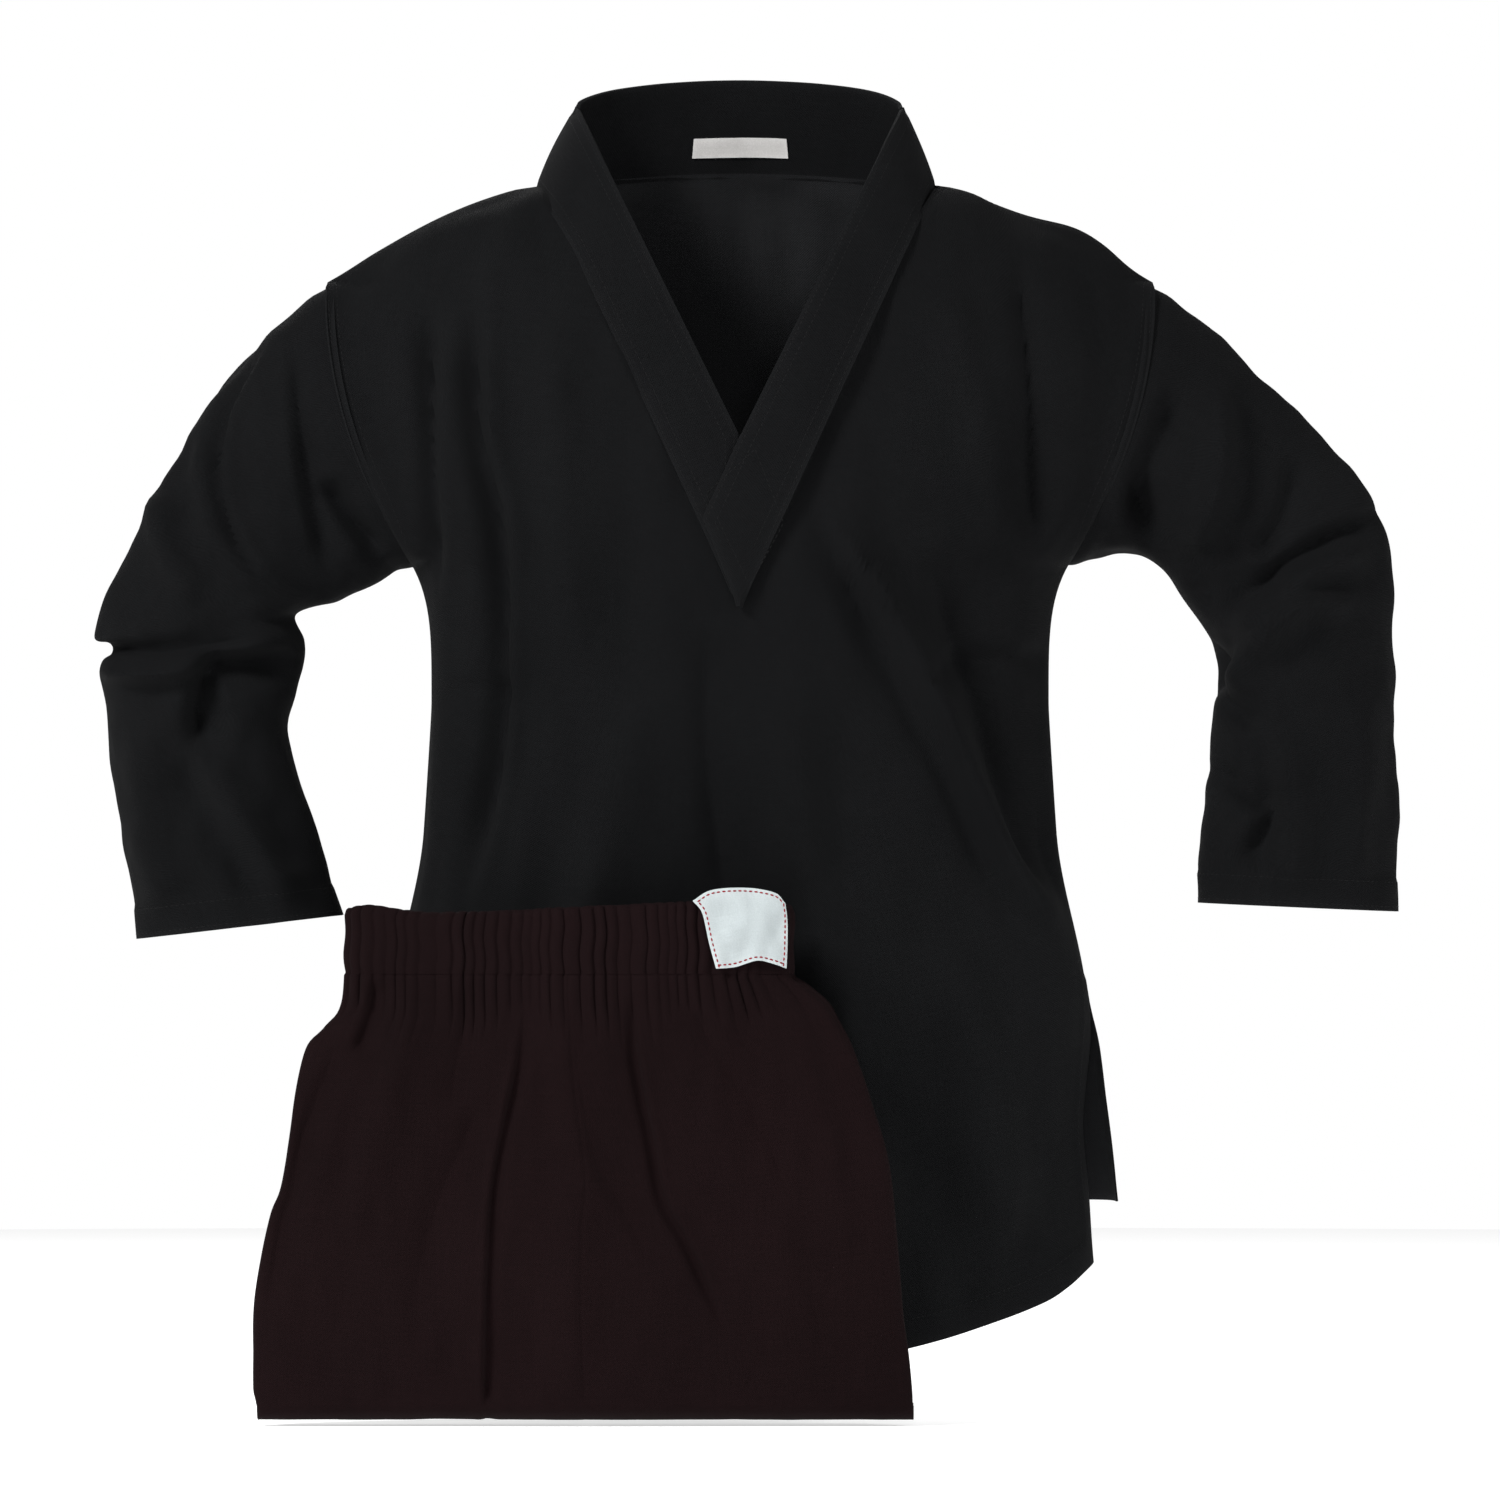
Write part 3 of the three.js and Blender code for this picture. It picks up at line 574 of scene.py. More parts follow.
# --- Sleeves ---
# Each sleeve is one length of canvas sewn into a tube along the arm's underside, set into the
# armhole at a flat felled seam, and turned up in a hem at the cuff. It creases inside the elbow.
RIGHT_SLEEVE = {
    "outer": [(-0.262, -0.0615), (-0.308, -0.102), (-0.353, -0.159), (-0.385, -0.224), (-0.4125, -0.283),
              (-0.4015, -0.295), (-0.4075, -0.308), (-0.3995, -0.358), (-0.3905, -0.417), (-0.3835, -0.4785)],
    "inner": [(-0.208, -0.242), (-0.222, -0.248), (-0.24, -0.257), (-0.259, -0.267), (-0.282, -0.273),
              (-0.277, -0.289), (-0.278, -0.306), (-0.286, -0.345), (-0.271, -0.405), (-0.2515, -0.463)],
    "front": [
        ([(-0.295, -0.092), (-0.326, -0.143), (-0.329, -0.188), (-0.314, -0.233),
          (-0.282, -0.268)], 0.0045, -0.0038, -0.9),
        ([(-0.338, -0.15), (-0.34, -0.188), (-0.325, -0.232), (-0.291, -0.264)], 0.011, 0.004, 0.5),
        ([(-0.284, -0.095), (-0.277, -0.178), (-0.262, -0.25)], 0.0055, -0.004, 0.7),
        ([(-0.366, -0.19), (-0.362, -0.232), (-0.34, -0.268)], 0.009, 0.004, -0.4),
        ([(-0.412, -0.293), (-0.36, -0.296), (-0.3, -0.284)], 0.0055, -0.003, 0.4),
        ([(-0.41, -0.308), (-0.37, -0.312), (-0.33, -0.303)], 0.006, 0.0045, 0.4),
        ([(-0.276, -0.3), (-0.315, -0.304), (-0.338, -0.308), (-0.347, -0.362)], 0.008, -0.0085, 0.5),
        ([(-0.346, -0.352), (-0.325, -0.395), (-0.282, -0.466)], 0.01, 0.006, 0.8),
        ([(-0.38, -0.335), (-0.375, -0.4), (-0.362, -0.47)], 0.013, 0.004, -0.3),
        ([(-0.266, -0.186), (-0.246, -0.215), (-0.222, -0.236)], 0.01, -0.006, 0.6),
    ],
    "bend": ((-0.314, 0, -0.254), (-0.336, 0, -0.3335)),
}
LEFT_SLEEVE = {
    "outer": [(0.262, -0.0615), (0.31, -0.102), (0.355, -0.147), (0.399, -0.197), (0.412, -0.24),
              (0.4135, -0.3), (0.416, -0.35), (0.418, -0.405), (0.4175, -0.461)],
    "inner": [(0.208, -0.242), (0.226, -0.238), (0.247, -0.236), (0.267, -0.243), (0.284, -0.266),
              (0.3, -0.298), (0.2985, -0.345), (0.2955, -0.4), (0.2925, -0.4555)],
    "front": [
        ([(0.402, -0.222), (0.356, -0.247), (0.304, -0.289)], 0.0085, 0.006, 0.7),
        ([(0.4, -0.262), (0.352, -0.2675), (0.321, -0.299), (0.301, -0.334)], 0.0085, 0.0055, 0.7),
        ([(0.41, -0.204), (0.352, -0.234), (0.32, -0.262)], 0.006, -0.004, 0.5),
        ([(0.294, -0.366), (0.32, -0.388), (0.337, -0.3975), (0.312, -0.432)], 0.008, -0.005, 0.5),
        ([(0.344, -0.338), (0.346, -0.4), (0.344, -0.456)], 0.01, 0.0055, 0.5),
        ([(0.388, -0.31), (0.391, -0.38), (0.386, -0.45)], 0.013, 0.004, -0.3),
        ([(0.276, -0.125), (0.246, -0.18), (0.262, -0.236)], 0.009, -0.0085, 0.6),
        ([(0.3, -0.12), (0.306, -0.18), (0.29, -0.24)], 0.011, 0.0055, -0.5),
        ([(0.35, -0.165), (0.345, -0.205), (0.322, -0.24)], 0.01, -0.0045, 0.4),
        ([(0.29, -0.29), (0.31, -0.33), (0.33, -0.35)], 0.007, -0.0045, 0.4),
    ],
    "bend": ((0.320, 0, -0.2335), (0.3525, 0, -0.309)),
}
SLEEVE_PATTERNS = {"right": RIGHT_SLEEVE, "left": LEFT_SLEEVE}
SLEEVE_ROWS = 128
SLEEVE_COLUMNS = 112
SEAM_TUCK = 0.0045
SEAM_STEP = 0.0007
SEAM_SHARE = 0.03
SHOULDER_SHARE = 0.42

sleeve_grids = {}
for side_name, sign in (("right", -1), ("left", 1)):
    pattern = SLEEVE_PATTERNS[side_name]
    outer = smooth_line(pattern["outer"], SLEEVE_ROWS)
    inner = smooth_line(pattern["inner"], SLEEVE_ROWS)
    share = np.linspace(0, 1, SLEEVE_ROWS)[:, None]
    angle = np.linspace(0, 2 * math.pi, SLEEVE_COLUMNS, endpoint=False)[None, :] + math.pi
    middle = (outer + inner) / 2
    half = (outer - inner) / 2
    depth = ARMHOLE_HALF_DEPTH - 0.008 * smooth(share / SHOULDER_SHARE) - 0.004 * smooth((share - 0.5) / 0.5)
    bow = sign * ARMHOLE_BOW * (1 - smooth(share / SHOULDER_SHARE)) * np.sin(angle) ** 2
    at_seam = 1 - smooth(share / SEAM_SHARE)
    x = middle[:, :1] + half[:, :1] * np.cos(angle) + bow - sign * SEAM_TUCK * at_seam
    tube = grid_of(x, depth * np.sin(angle), middle[:, 1:] + half[:, 1:] * np.cos(angle))
    core = grid_of(middle[:, :1], 0.0, middle[:, 1:])
    lift = fold_height(tube, pattern["front"]) * smooth((0.020 - tube[..., 1]) / 0.020)
    behind = [(route, width * 1.3, -0.8 * rise, lean) for route, width, rise, lean in pattern["front"]]
    lift += fold_height(tube, behind) * smooth((tube[..., 1] - 0.005) / 0.015)
    lift *= FOLD_STRENGTH
    lift += crumple(tube, 0.040, 0.060, 0.0050, 5.3) + crumple(tube, 0.016, 0.020, 0.0014, 2.9)
    lift *= smooth((share - 0.01) / 0.09)
    lift *= 1 - 0.6 * smooth((share - 0.93) / 0.07)
    from_cuff = edge_distance(tube, ("last",), closed=True)
    lift -= SEAM_STEP * at_seam
    lift += HEM_LIFT * smooth((HEM_WIDTH - from_cuff) / HEM_EDGE)
    tube = tube + lift[..., None] * grid_normals(tube, core, closed=True)
    sleeve_grids[side_name] = (tube, core)
    sleeve = cloth_sheet(f"{side_name}_sleeve", tube, core, black_canvas, JACKET_CLOTH, closed=True,
                         worn=ENDS)
    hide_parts(f"{side_name}_upper_sleeve", f"{side_name}_elbow", f"{side_name}_lower_sleeve")
    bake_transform(sleeve)

# --- Collar ---
# The collar is a folded band of canvas, stitched through in rows. Its left front stretch crosses
# over the right one at the foot of the V, where its end is sewn down with a stitched diamond.
COLLAR_CLOTH = 0.0024
COLLAR_WIDTH = 0.046
COLLAR_TOP_HALF = 0.104
COLLAR_TOP_Z = 0.050
COLLAR_BACK_RISE = 0.019
COLLAR_BACK_Y = 0.050
COLLAR_LAP = 0.004
ON_PANEL = 0.0028
RIGHT_NECK_SPREAD = 0.045
NECK_INSIDE = (0, -0.020, -0.060)
V_SLOPE = NECK_DEPTH / NECK_HALF
V_RUN = 1 / math.hypot(1, V_SLOPE)
V_RISE = V_SLOPE * V_RUN


def collar_front(sign, reach, forward, foot, rows=150, columns=17):
    v = np.linspace(0, 1, rows)[:, None]
    u = np.linspace(0, 1, columns)[None, :]
    seam_x = foot + (NECK_HALF - foot) * v
    seam_z = -NECK_DEPTH * (1 - seam_x / NECK_HALF) + 0.0006
    forward = ON_PANEL + forward * smooth((-seam_z - 0.060) / 0.060)
    seam_y = -stand_off(seam_x, seam_z, body_half(seam_z), FRONT_DEPTH) - forward
    full_x = COLLAR_WIDTH * V_RISE
    width = np.minimum(COLLAR_WIDTH, reach * seam_x)
    climb = np.clip((seam_x - full_x) / (NECK_HALF - full_x), 0, 1)
    start_z = -NECK_DEPTH * (1 - full_x / NECK_HALF) + V_RUN * COLLAR_WIDTH
    upper_z = start_z + (COLLAR_TOP_Z - start_z) * climb
    near = seam_x < full_x
    free_x = np.where(near, seam_x - V_RISE * width, COLLAR_TOP_HALF * climb)
    free_z = np.where(near, seam_z + V_RUN * width, upper_z)
    in_share = np.clip((free_z + SHOULDER_ROLL) / (COLLAR_TOP_Z + SHOULDER_ROLL), 0, 1)
    free_y = -0.0003 - FRONT_DEPTH * np.sqrt(1 - in_share**2) - forward
    to_back = 0.008 * smooth((v - 0.90) / 0.10) + ON_PANEL * smooth((v - 0.80) / 0.20)
    foot_z = seam_z - COLLAR_LAP * smooth((v - 0.90) / 0.10)
    spread = 1 + (RIGHT_NECK_SPREAD if sign < 0 else 0) * smooth((v - 0.80) / 0.20)
    seam = grid_of(sign * seam_x * spread, seam_y + to_back, foot_z)
    free = grid_of(sign * free_x, free_y + to_back, free_z)
    points = seam + (free - seam) * u[..., None]
    roll = 0.0016 * np.sin(math.pi * u) + 0 * v
    roll = roll + crumple(points, 0.030, 0.050, 0.0016, 4.0 + sign)
    rows_down = np.cos(2 * math.pi * np.clip((0.5 - np.abs(u - 0.5)) / 0.12, 0, 1))
    roll = roll + 0.0002 * rows_down
    return points + roll[..., None] * grid_normals(points, NECK_INSIDE)


def collar_back(rows=121, columns=17, inset=0.0):
    angle = np.linspace(-1, 1, rows)[:, None] * math.pi / 2 * 0.992
    u = np.linspace(0, 1, columns)[None, :]
    x = NECK_HALF * np.sin(angle)
    seam_z = BACK_NECK_RISE * (1 - (x / NECK_HALF) ** 2) + 0.0008
    seam_y = stand_off(x, seam_z, body_half(seam_z), BACK_DEPTH) + 0.0030
    spread = 1 + RIGHT_NECK_SPREAD * smooth((-np.sin(angle) - 0.75) / 0.25)
    seam = grid_of(x * spread, seam_y, seam_z - COLLAR_LAP)
    free = grid_of(COLLAR_TOP_HALF * np.sin(angle), COLLAR_BACK_Y * np.cos(angle) + 0.0003,
                   COLLAR_TOP_Z + COLLAR_BACK_RISE * np.cos(angle))
    points = seam + (free - seam) * u[..., None]
    roll = 0.0012 * np.sin(math.pi * u) + crumple(points, 0.030, 0.050, 0.0012, 7.5) - inset
    roll = roll - 0.0009 * (1 - smooth(np.cos(angle) / 0.20))
    return points + roll[..., None] * grid_normals(points, NECK_INSIDE)


to_middle = 0.97 / V_RISE
to_far_edge = 0.9 * 2 * V_SLOPE / (V_SLOPE * V_RISE - V_RUN)
collar_grids = {
    "collar_right": collar_front(-1, to_middle, 0.0, 0.0046),
    "collar_left": collar_front(1, to_far_edge, COLLAR_CLOTH + 0.0005, 0.0008),
    "collar_back": collar_back(),
}
for name, points in collar_grids.items():
    band = cloth_sheet(f"{name}_band", points, NECK_INSIDE, black_canvas, COLLAR_CLOTH,
                       worn=SIDES, bevel=0.0007)
    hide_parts(name)
    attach(band, "jacket")

# --- Neck label ---
# A small blank woven label in off-white satin, sewn inside the back of the collar by its ends.
NECK_LABEL_WIDTH = 0.062
NECK_LABEL_HEIGHT = 0.016
LABEL_CLOTH = 0.0006

label_satin = cloth_material("label_satin", (0.33, 0.32, 0.31), (0.54, 0.53, 0.52), 3200, 0.05, 0.25, 0.5)
inner_back = collar_back(rows=181, columns=61, inset=COLLAR_CLOTH + 0.0012)
round_length = math.pi * NECK_HALF
label_reach = int(96 * NECK_LABEL_WIDTH / round_length)
label_rows = slice(90 - label_reach, 91 + label_reach)
label_top = 13 + int(60 * NECK_LABEL_HEIGHT / 0.075)
neck_label_points = inner_back[label_rows, 13:label_top + 1]
label_wave = crumple(neck_label_points, 0.012, 0.012, 0.0006, 1.7)
neck_label_points = neck_label_points - label_wave[..., None] * grid_normals(neck_label_points, NECK_INSIDE)
neck_label = cloth_sheet("neck_label_tape", neck_label_points, (0, 0.2, 0), label_satin, LABEL_CLOTH,
                         worn=ENDS + SIDES)
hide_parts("neck_label")
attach(neck_label, "jacket")

# --- Jacket stitching ---
# Black cotton thread, lock-stitched: twin rows along the armholes, shoulders and collar, single
# rows along the hems and vents, twin rows round the cuffs, and a diamond where the collar crosses.
STITCH_LENGTH = 0.0027
STITCH_PITCH = 0.0038
STITCH_WIDTH = 0.00055
STITCH_RISE = 0.00042
STITCH_AIM = 0.0008

bpy.ops.mesh.primitive_uv_sphere_add(segments=6, ring_count=4, radius=0.5)
bpy.ops.object.mode_set(mode="EDIT")
bpy.ops.transform.rotate(value=math.pi / 2, orient_axis="Y", center_override=(0, 0, 0))
bpy.ops.mesh.normals_make_consistent(inside=False)
bpy.ops.object.mode_set(mode="OBJECT")
one_stitch = bpy.context.object
stitch_corners = np.array([corner.co for corner in one_stitch.data.vertices])
stitch_faces = [list(face.vertices) for face in one_stitch.data.polygons]
bpy.data.objects.remove(one_stitch)


# Points and outward directions at places between the rows and columns of a cloth's grid.
def on_cloth(points, normals, rows, columns):
    height, width = points.shape[:2]
    rows = np.clip(rows, 0, height - 1.001)
    row, column = rows.astype(int), np.floor(columns).astype(int)
    down, over = (rows - row)[:, None], (columns - column)[:, None]

    def at(grid):
        first = grid[row, column % width] * (1 - over) + grid[row, (column + 1) % width] * over
        second = grid[row + 1, column % width] * (1 - over) + grid[row + 1, (column + 1) % width] * over
        return first * (1 - down) + second * down

    return at(points), at(normals)


# A line at an even distance in from an edge of the cloth, along a stretch of that edge.
def seam_line(points, inside, edge, distance, start=0.0, end=1.0, closed=False):
    across, along = cloth_measure(points, closed)
    height, width = points.shape[:2]
    upright = edge in SIDES
    measures, count = (across, height) if upright else (along.T, width)
    turn = 1 if edge in ("left", "first") else -1
    measures = measures if turn == 1 else measures[:, -1:] - measures
    spots = np.arange(int(start * (count - 1)), int(end * (count - 1)) + (2 if closed else 1))
    places = np.arange(measures.shape[1])
    depths = np.array([np.interp(distance, measures[spot % count][::turn], places[::turn]) for spot in spots])
    rows, columns = (spots.astype(float), depths) if upright else (depths, spots.astype(float))
    columns = columns if closed else np.minimum(columns, width - 1.001)
    return on_cloth(points, grid_normals(points, inside, closed), rows, columns)


# One piece made of all the stitches along the given lines, in rows of small rounded shapes.
def stitch_rows(name, lines, thread, scale=1.0, fatness=1.0):
    corners, faces = [], []
    thick = scale * fatness
    stitch_size = np.array((STITCH_LENGTH * scale, STITCH_WIDTH * thick, STITCH_RISE * thick))
    for places, normals in lines:
        travelled = np.concatenate([[0], np.cumsum(np.linalg.norm(np.diff(places, axis=0), axis=1))])
        centres = np.arange(STITCH_PITCH * scale / 2, travelled[-1], STITCH_PITCH * scale)

        def along_line(values, distances):
            return np.stack([np.interp(distances, travelled, values[:, k]) for k in range(3)], axis=-1)

        centre = along_line(places, centres)
        run = along_line(places, centres + STITCH_AIM) - along_line(places, centres - STITCH_AIM)
        run /= np.maximum(np.linalg.norm(run, axis=1, keepdims=True), 1e-9)
        up = along_line(normals, centres)
        up -= run * np.sum(up * run, axis=1, keepdims=True)
        up /= np.maximum(np.linalg.norm(up, axis=1, keepdims=True), 1e-9)
        beside = np.cross(up, run)
        for place, forward, sideways, out in zip(centre, run, beside, up):
            first = len(corners)
            shape = place + (stitch_corners * stitch_size) @ np.array([forward, sideways, out])
            corners.extend(shape.tolist())
            faces.extend([[first + k for k in face] for face in stitch_faces])
    mesh = bpy.data.meshes.new(name)
    mesh.from_pydata(corners, [], faces)
    mesh.shade_smooth()
    piece = bpy.data.objects.new(name, mesh)
    bpy.context.scene.collection.objects.link(piece)
    piece.data.materials.append(thread)
    return piece


def thread_material(name, deep, raised, sheen):
    material, nodes, links, shader, surface, coordinates = start_material(name, sheen, 0.4, 0.0002)
    strands = nodes.new("ShaderNodeTexNoise")
    set_inputs(strands, {"Scale": 2600, "Detail": 2})
    links.new(coordinates.outputs["Object"], strands.inputs["Vector"])
    colours = nodes.new("ShaderNodeValToRGB")
    for stop, colour, position in zip(colours.color_ramp.elements, (deep, raised), (0.3, 0.7)):
        stop.color = (*colour, 1)
        stop.position = position
    links.new(strands.outputs["Fac"], colours.inputs["Fac"])
    links.new(colours.outputs["Color"], shader.inputs["Base Color"])
    links.new(strands.outputs["Fac"], surface.inputs["Height"])
    shader.inputs["Roughness"].default_value = 0.55
    return material


black_thread = thread_material("black_thread", (0.0040, 0.0040, 0.0042), (0.0125, 0.0125, 0.0130), 0.0)
ARMHOLE_START = 0.62
TWIN_ROWS = (0.0025, 0.0085)
HEM_ROW = 0.018
VENT_ROW = 0.016


# The rows on a front or back panel: two along each armhole, one along the hem and one up each vent.
def panel_rows(points, vent_end):
    lines = [seam_line(points, JACKET_MIDDLE, edge, distance, ARMHOLE_START, 0.995)
             for edge in SIDES for distance in TWIN_ROWS]
    lines.append(seam_line(points, JACKET_MIDDLE, "first", HEM_ROW, 0.02, 0.98))
    return lines + [seam_line(points, JACKET_MIDDLE, edge, VENT_ROW, 0.03, vent_end) for edge in SIDES]


front_lines = panel_rows(front_points, 0.27)
front_lines += [seam_line(front_points, JACKET_MIDDLE, "last", distance, start, end)
                for start, end in ((0.01, 0.27), (0.73, 0.99)) for distance in TWIN_ROWS]
front_stitching = stitch_rows("jacket_front_stitching", front_lines, black_thread)
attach(front_stitching, "jacket")

back_stitching = stitch_rows("jacket_back_stitching", panel_rows(back_points, 0.20), black_thread)
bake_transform(back_stitching)

for side_name, (tube, core) in sleeve_grids.items():
    cuff_lines = [seam_line(tube, core, "last", distance, closed=True) for distance in (0.0030, 0.0185)]
    cuff_stitching = stitch_rows(f"{side_name}_sleeve_stitching", cuff_lines, black_thread)
    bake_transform(cuff_stitching)

collar_lines = []
for name, points in collar_grids.items():
    start = 0.0 if name == "collar_back" else 0.13
    collar_lines += [seam_line(points, NECK_INSIDE, edge, distance, start, 0.995)
                     for edge in SIDES for distance in (0.0028, 0.0090)]
DIAMOND = [(0.0095, -0.169), (0.0275, -0.2155), (0.006, -0.255), (-0.0215, -0.197), (0.0095, -0.169)]
crossing = collar_grids["collar_left"].reshape(-1, 3)
crossing_normals = grid_normals(collar_grids["collar_left"], NECK_INSIDE).reshape(-1, 3)
for first, second in zip(DIAMOND[:-1], DIAMOND[1:]):
    steps = np.linspace(0, 1, 14)[:, None]
    line = np.array(first) + (np.array(second) - np.array(first)) * steps
    nearest = [np.argmin((crossing[:, 0] - x) ** 2 + (crossing[:, 2] - z) ** 2) for x, z in line]
    collar_lines.append((grid_of(line[:, 0], crossing[nearest, 1], line[:, 1]), crossing_normals[nearest]))
collar_stitching = stitch_rows("collar_stitching", collar_lines, black_thread)
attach(collar_stitching, "jacket")

# --- Trouser panels ---
# Two front and two back panels of brown-black cotton, gathered into the waistband, their gathers
# opening into long soft folds. At the bottom the cloth rolls under into the legs folded up behind.
TROUSER_CLOTH = 0.0010
TROUSER_X = -0.1075
TROUSER_Y = -0.1175
TROUSER_WAIST_HALF = 0.1395
TROUSER_TOP_Z = -0.457
WAISTBAND_Z = -0.499
WAIST_DEPTH_HALF = 0.015
HIP_DEPTH_HALF = 0.0165
FOLD_DEPTH_HALF = 0.011
TROUSER_FOLD_Z = -0.779
FOLD_ROLL = 0.010
LEG_NEAR_Y = -0.0967
LEG_HALF_DEPTH = 0.0033
GATHER_PITCH = 0.0076
GATHER_HEIGHT = 0.0022
GATHER_END_Z = -0.514
TUCK = 0.0040
RIGHT_SIDE = [(-0.247, -0.457), (-0.248, -0.503), (-0.2515, -0.523), (-0.2615, -0.533), (-0.273, -0.547),
              (-0.281, -0.58), (-0.287, -0.63), (-0.294, -0.652), (-0.302, -0.7), (-0.3035, -0.74),
              (-0.303, -0.779)]
LEFT_SIDE = [(0.0315, -0.457), (0.032, -0.497), (0.0415, -0.507), (0.057, -0.523), (0.0735, -0.551),
             (0.088, -0.6), (0.096, -0.645), (0.1015, -0.69), (0.106, -0.735), (0.109, -0.779)]

right_side = smooth_line(RIGHT_SIDE, 90)
left_side = smooth_line(LEFT_SIDE, 90)


def side_x(line, z):
    return np.interp(-z, -line[:, 1], line[:, 0])


# The depth of a round of cloth that lies nearly flat, as a share of its half depth.
def pressed(angle, power=0.6):
    return np.sign(np.sin(angle)) * np.abs(np.sin(angle)) ** power


dense_angle = np.linspace(0, 2 * math.pi, 6001)
dense_round = grid_of(TROUSER_WAIST_HALF * np.cos(dense_angle), WAIST_DEPTH_HALF * pressed(dense_angle), 0.0)
dense_arc = np.concatenate([[0], np.cumsum(np.linalg.norm(np.diff(dense_round, axis=0), axis=1))])


# Angles round the trousers from one to another, evenly far apart along the cloth at the waist.
def even_angles(start, end, count):
    low, high = np.interp((start, end), dense_angle, dense_arc)
    return np.interp(np.linspace(low, high, count), dense_arc, dense_angle)


def gather_wave(angle):
    arc = np.interp(angle, dense_angle, dense_arc)
    phase = 2 * math.pi * arc / GATHER_PITCH + 2.0 * np.sin(61 * arc + 0.7) + 1.3 * np.sin(147 * arc + 2.1)
    strength = 1 + 0.30 * np.sin(83 * arc + 1.9) + 0.22 * np.sin(211 * arc)
    return strength * np.abs(np.sin(phase / 2)) ** 0.55 - 0.6


# From side to side at a height, with the gathers kept close at the waist and opening below it.
def trouser_round(angle, z):
    def across(height):
        left, right = side_x(left_side, height), side_x(right_side, height)
        return (left + right) / 2 + (left - right) / 2 * np.cos(angle)

    waist = across(WAISTBAND_Z)
    crowd = 1 - smooth((WAISTBAND_Z - z) / 0.140)
    return waist + (across(z) - waist) * (1 - crowd + crowd * np.abs(np.cos(angle)) ** 5)


def hip_depth(z):
    full = smooth((WAISTBAND_Z - z) / 0.120)
    fold = smooth((TROUSER_FOLD_Z + 0.090 - z) / 0.090)
    hip = WAIST_DEPTH_HALF + (HIP_DEPTH_HALF - WAIST_DEPTH_HALF) * full
    return hip - (HIP_DEPTH_HALF - FOLD_DEPTH_HALF) * fold


def trouser_panel(start, end, front):
    angle = even_angles(start, end, 231)[None, :]
    bulge = pressed(angle)
    bottom = TROUSER_FOLD_Z + FOLD_ROLL
    z = np.linspace(WAISTBAND_Z + TUCK, bottom, 114)[:, None]
    points = grid_of(trouser_round(angle, z), TROUSER_Y + hip_depth(z) * bulge, z)
    if front:
        turn = np.linspace(0, math.pi, 26)[1:, None]
        face_y = TROUSER_Y + hip_depth(bottom) * bulge
        leg_y = LEG_NEAR_Y + LEG_HALF_DEPTH * np.abs(bulge)
        y = (face_y + leg_y) / 2 - (leg_y - face_y) / 2 * np.cos(turn)
        roll = grid_of(trouser_round(angle, TROUSER_FOLD_Z), y, bottom - FOLD_ROLL * np.sin(turn))
        points = np.concatenate([points, roll], axis=0)
    return points, angle


FRONT_TROUSER_FOLDS = [
    ([(-0.1336, -0.506), (-0.1385, -0.551), (-0.147, -0.591), (-0.154, -0.631), (-0.157, -0.673),
      (-0.159, -0.738), (-0.161, -0.85)], 0.0032, -0.0042, 0.9),
    ([(-0.067, -0.502), (-0.066, -0.5405), (-0.0605, -0.574), (-0.0535, -0.608), (-0.048, -0.638),
      (-0.033, -0.667), (-0.0195, -0.696), (-0.004, -0.735)], 0.0032, -0.0038, -0.9),
    ([(-0.101, -0.502), (-0.103, -0.5405), (-0.093, -0.608), (-0.0756, -0.642),
      (-0.05, -0.692)], 0.008, -0.003, 0.7),
    ([(-0.158, -0.57), (-0.186, -0.633), (-0.2, -0.681), (-0.205, -0.72)], 0.012, -0.0034, 0.6),
    ([(-0.2495, -0.535), (-0.268, -0.58), (-0.28, -0.614), (-0.291, -0.667),
      (-0.297, -0.72)], 0.008, -0.0034, 0.8),
    ([(-0.205, -0.5), (-0.214, -0.545), (-0.232, -0.6), (-0.246, -0.68)], 0.01, 0.0034, 0.6),
    ([(-0.033, -0.502), (-0.023, -0.532), (0.017, -0.602), (0.036, -0.655)], 0.009, -0.0034, -0.8),
    ([(0.02, -0.503), (0.04, -0.545), (0.058, -0.61), (0.066, -0.69)], 0.01, 0.0034, -0.6),
    ([(0.036, -0.61), (0.046, -0.69), (0.048, -0.765)], 0.014, -0.0026, 0.5),
    ([(-0.112, -0.61), (-0.108, -0.69), (-0.112, -0.775)], 0.014, 0.003, 0.4),
    ([(-0.228, -0.5), (-0.233, -0.525), (-0.243, -0.55)], 0.0045, -0.0034, 0.9),
    ([(-0.175, -0.5), (-0.176, -0.54), (-0.182, -0.585)], 0.007, -0.0026, 0.7),
]
BACK_TROUSER_FOLDS = [
    ([(-0.19, -0.5), (-0.2, -0.58), (-0.21, -0.68)], 0.01, -0.003, 0.5),
    ([(-0.06, -0.5), (-0.055, -0.56), (-0.04, -0.66)], 0.01, -0.003, -0.5),
]
TROUSER_CORE = (TROUSER_X, TROUSER_Y, -0.62)
trouser_cotton = cloth_material("trouser_cotton", (0.0033, 0.0012, 0.0014), (0.0087, 0.0036, 0.0041),
                                1400, COTTON_SHEEN, 0.5)
quarter = math.pi / 2
PANELS = {
    "trouser_right_front": (2 * quarter, 3 * quarter, True),
    "trouser_left_front": (3 * quarter, 4 * quarter, True),
    "trouser_left_back": (0.0, quarter, False),
    "trouser_right_back": (quarter, 2 * quarter, False),
}
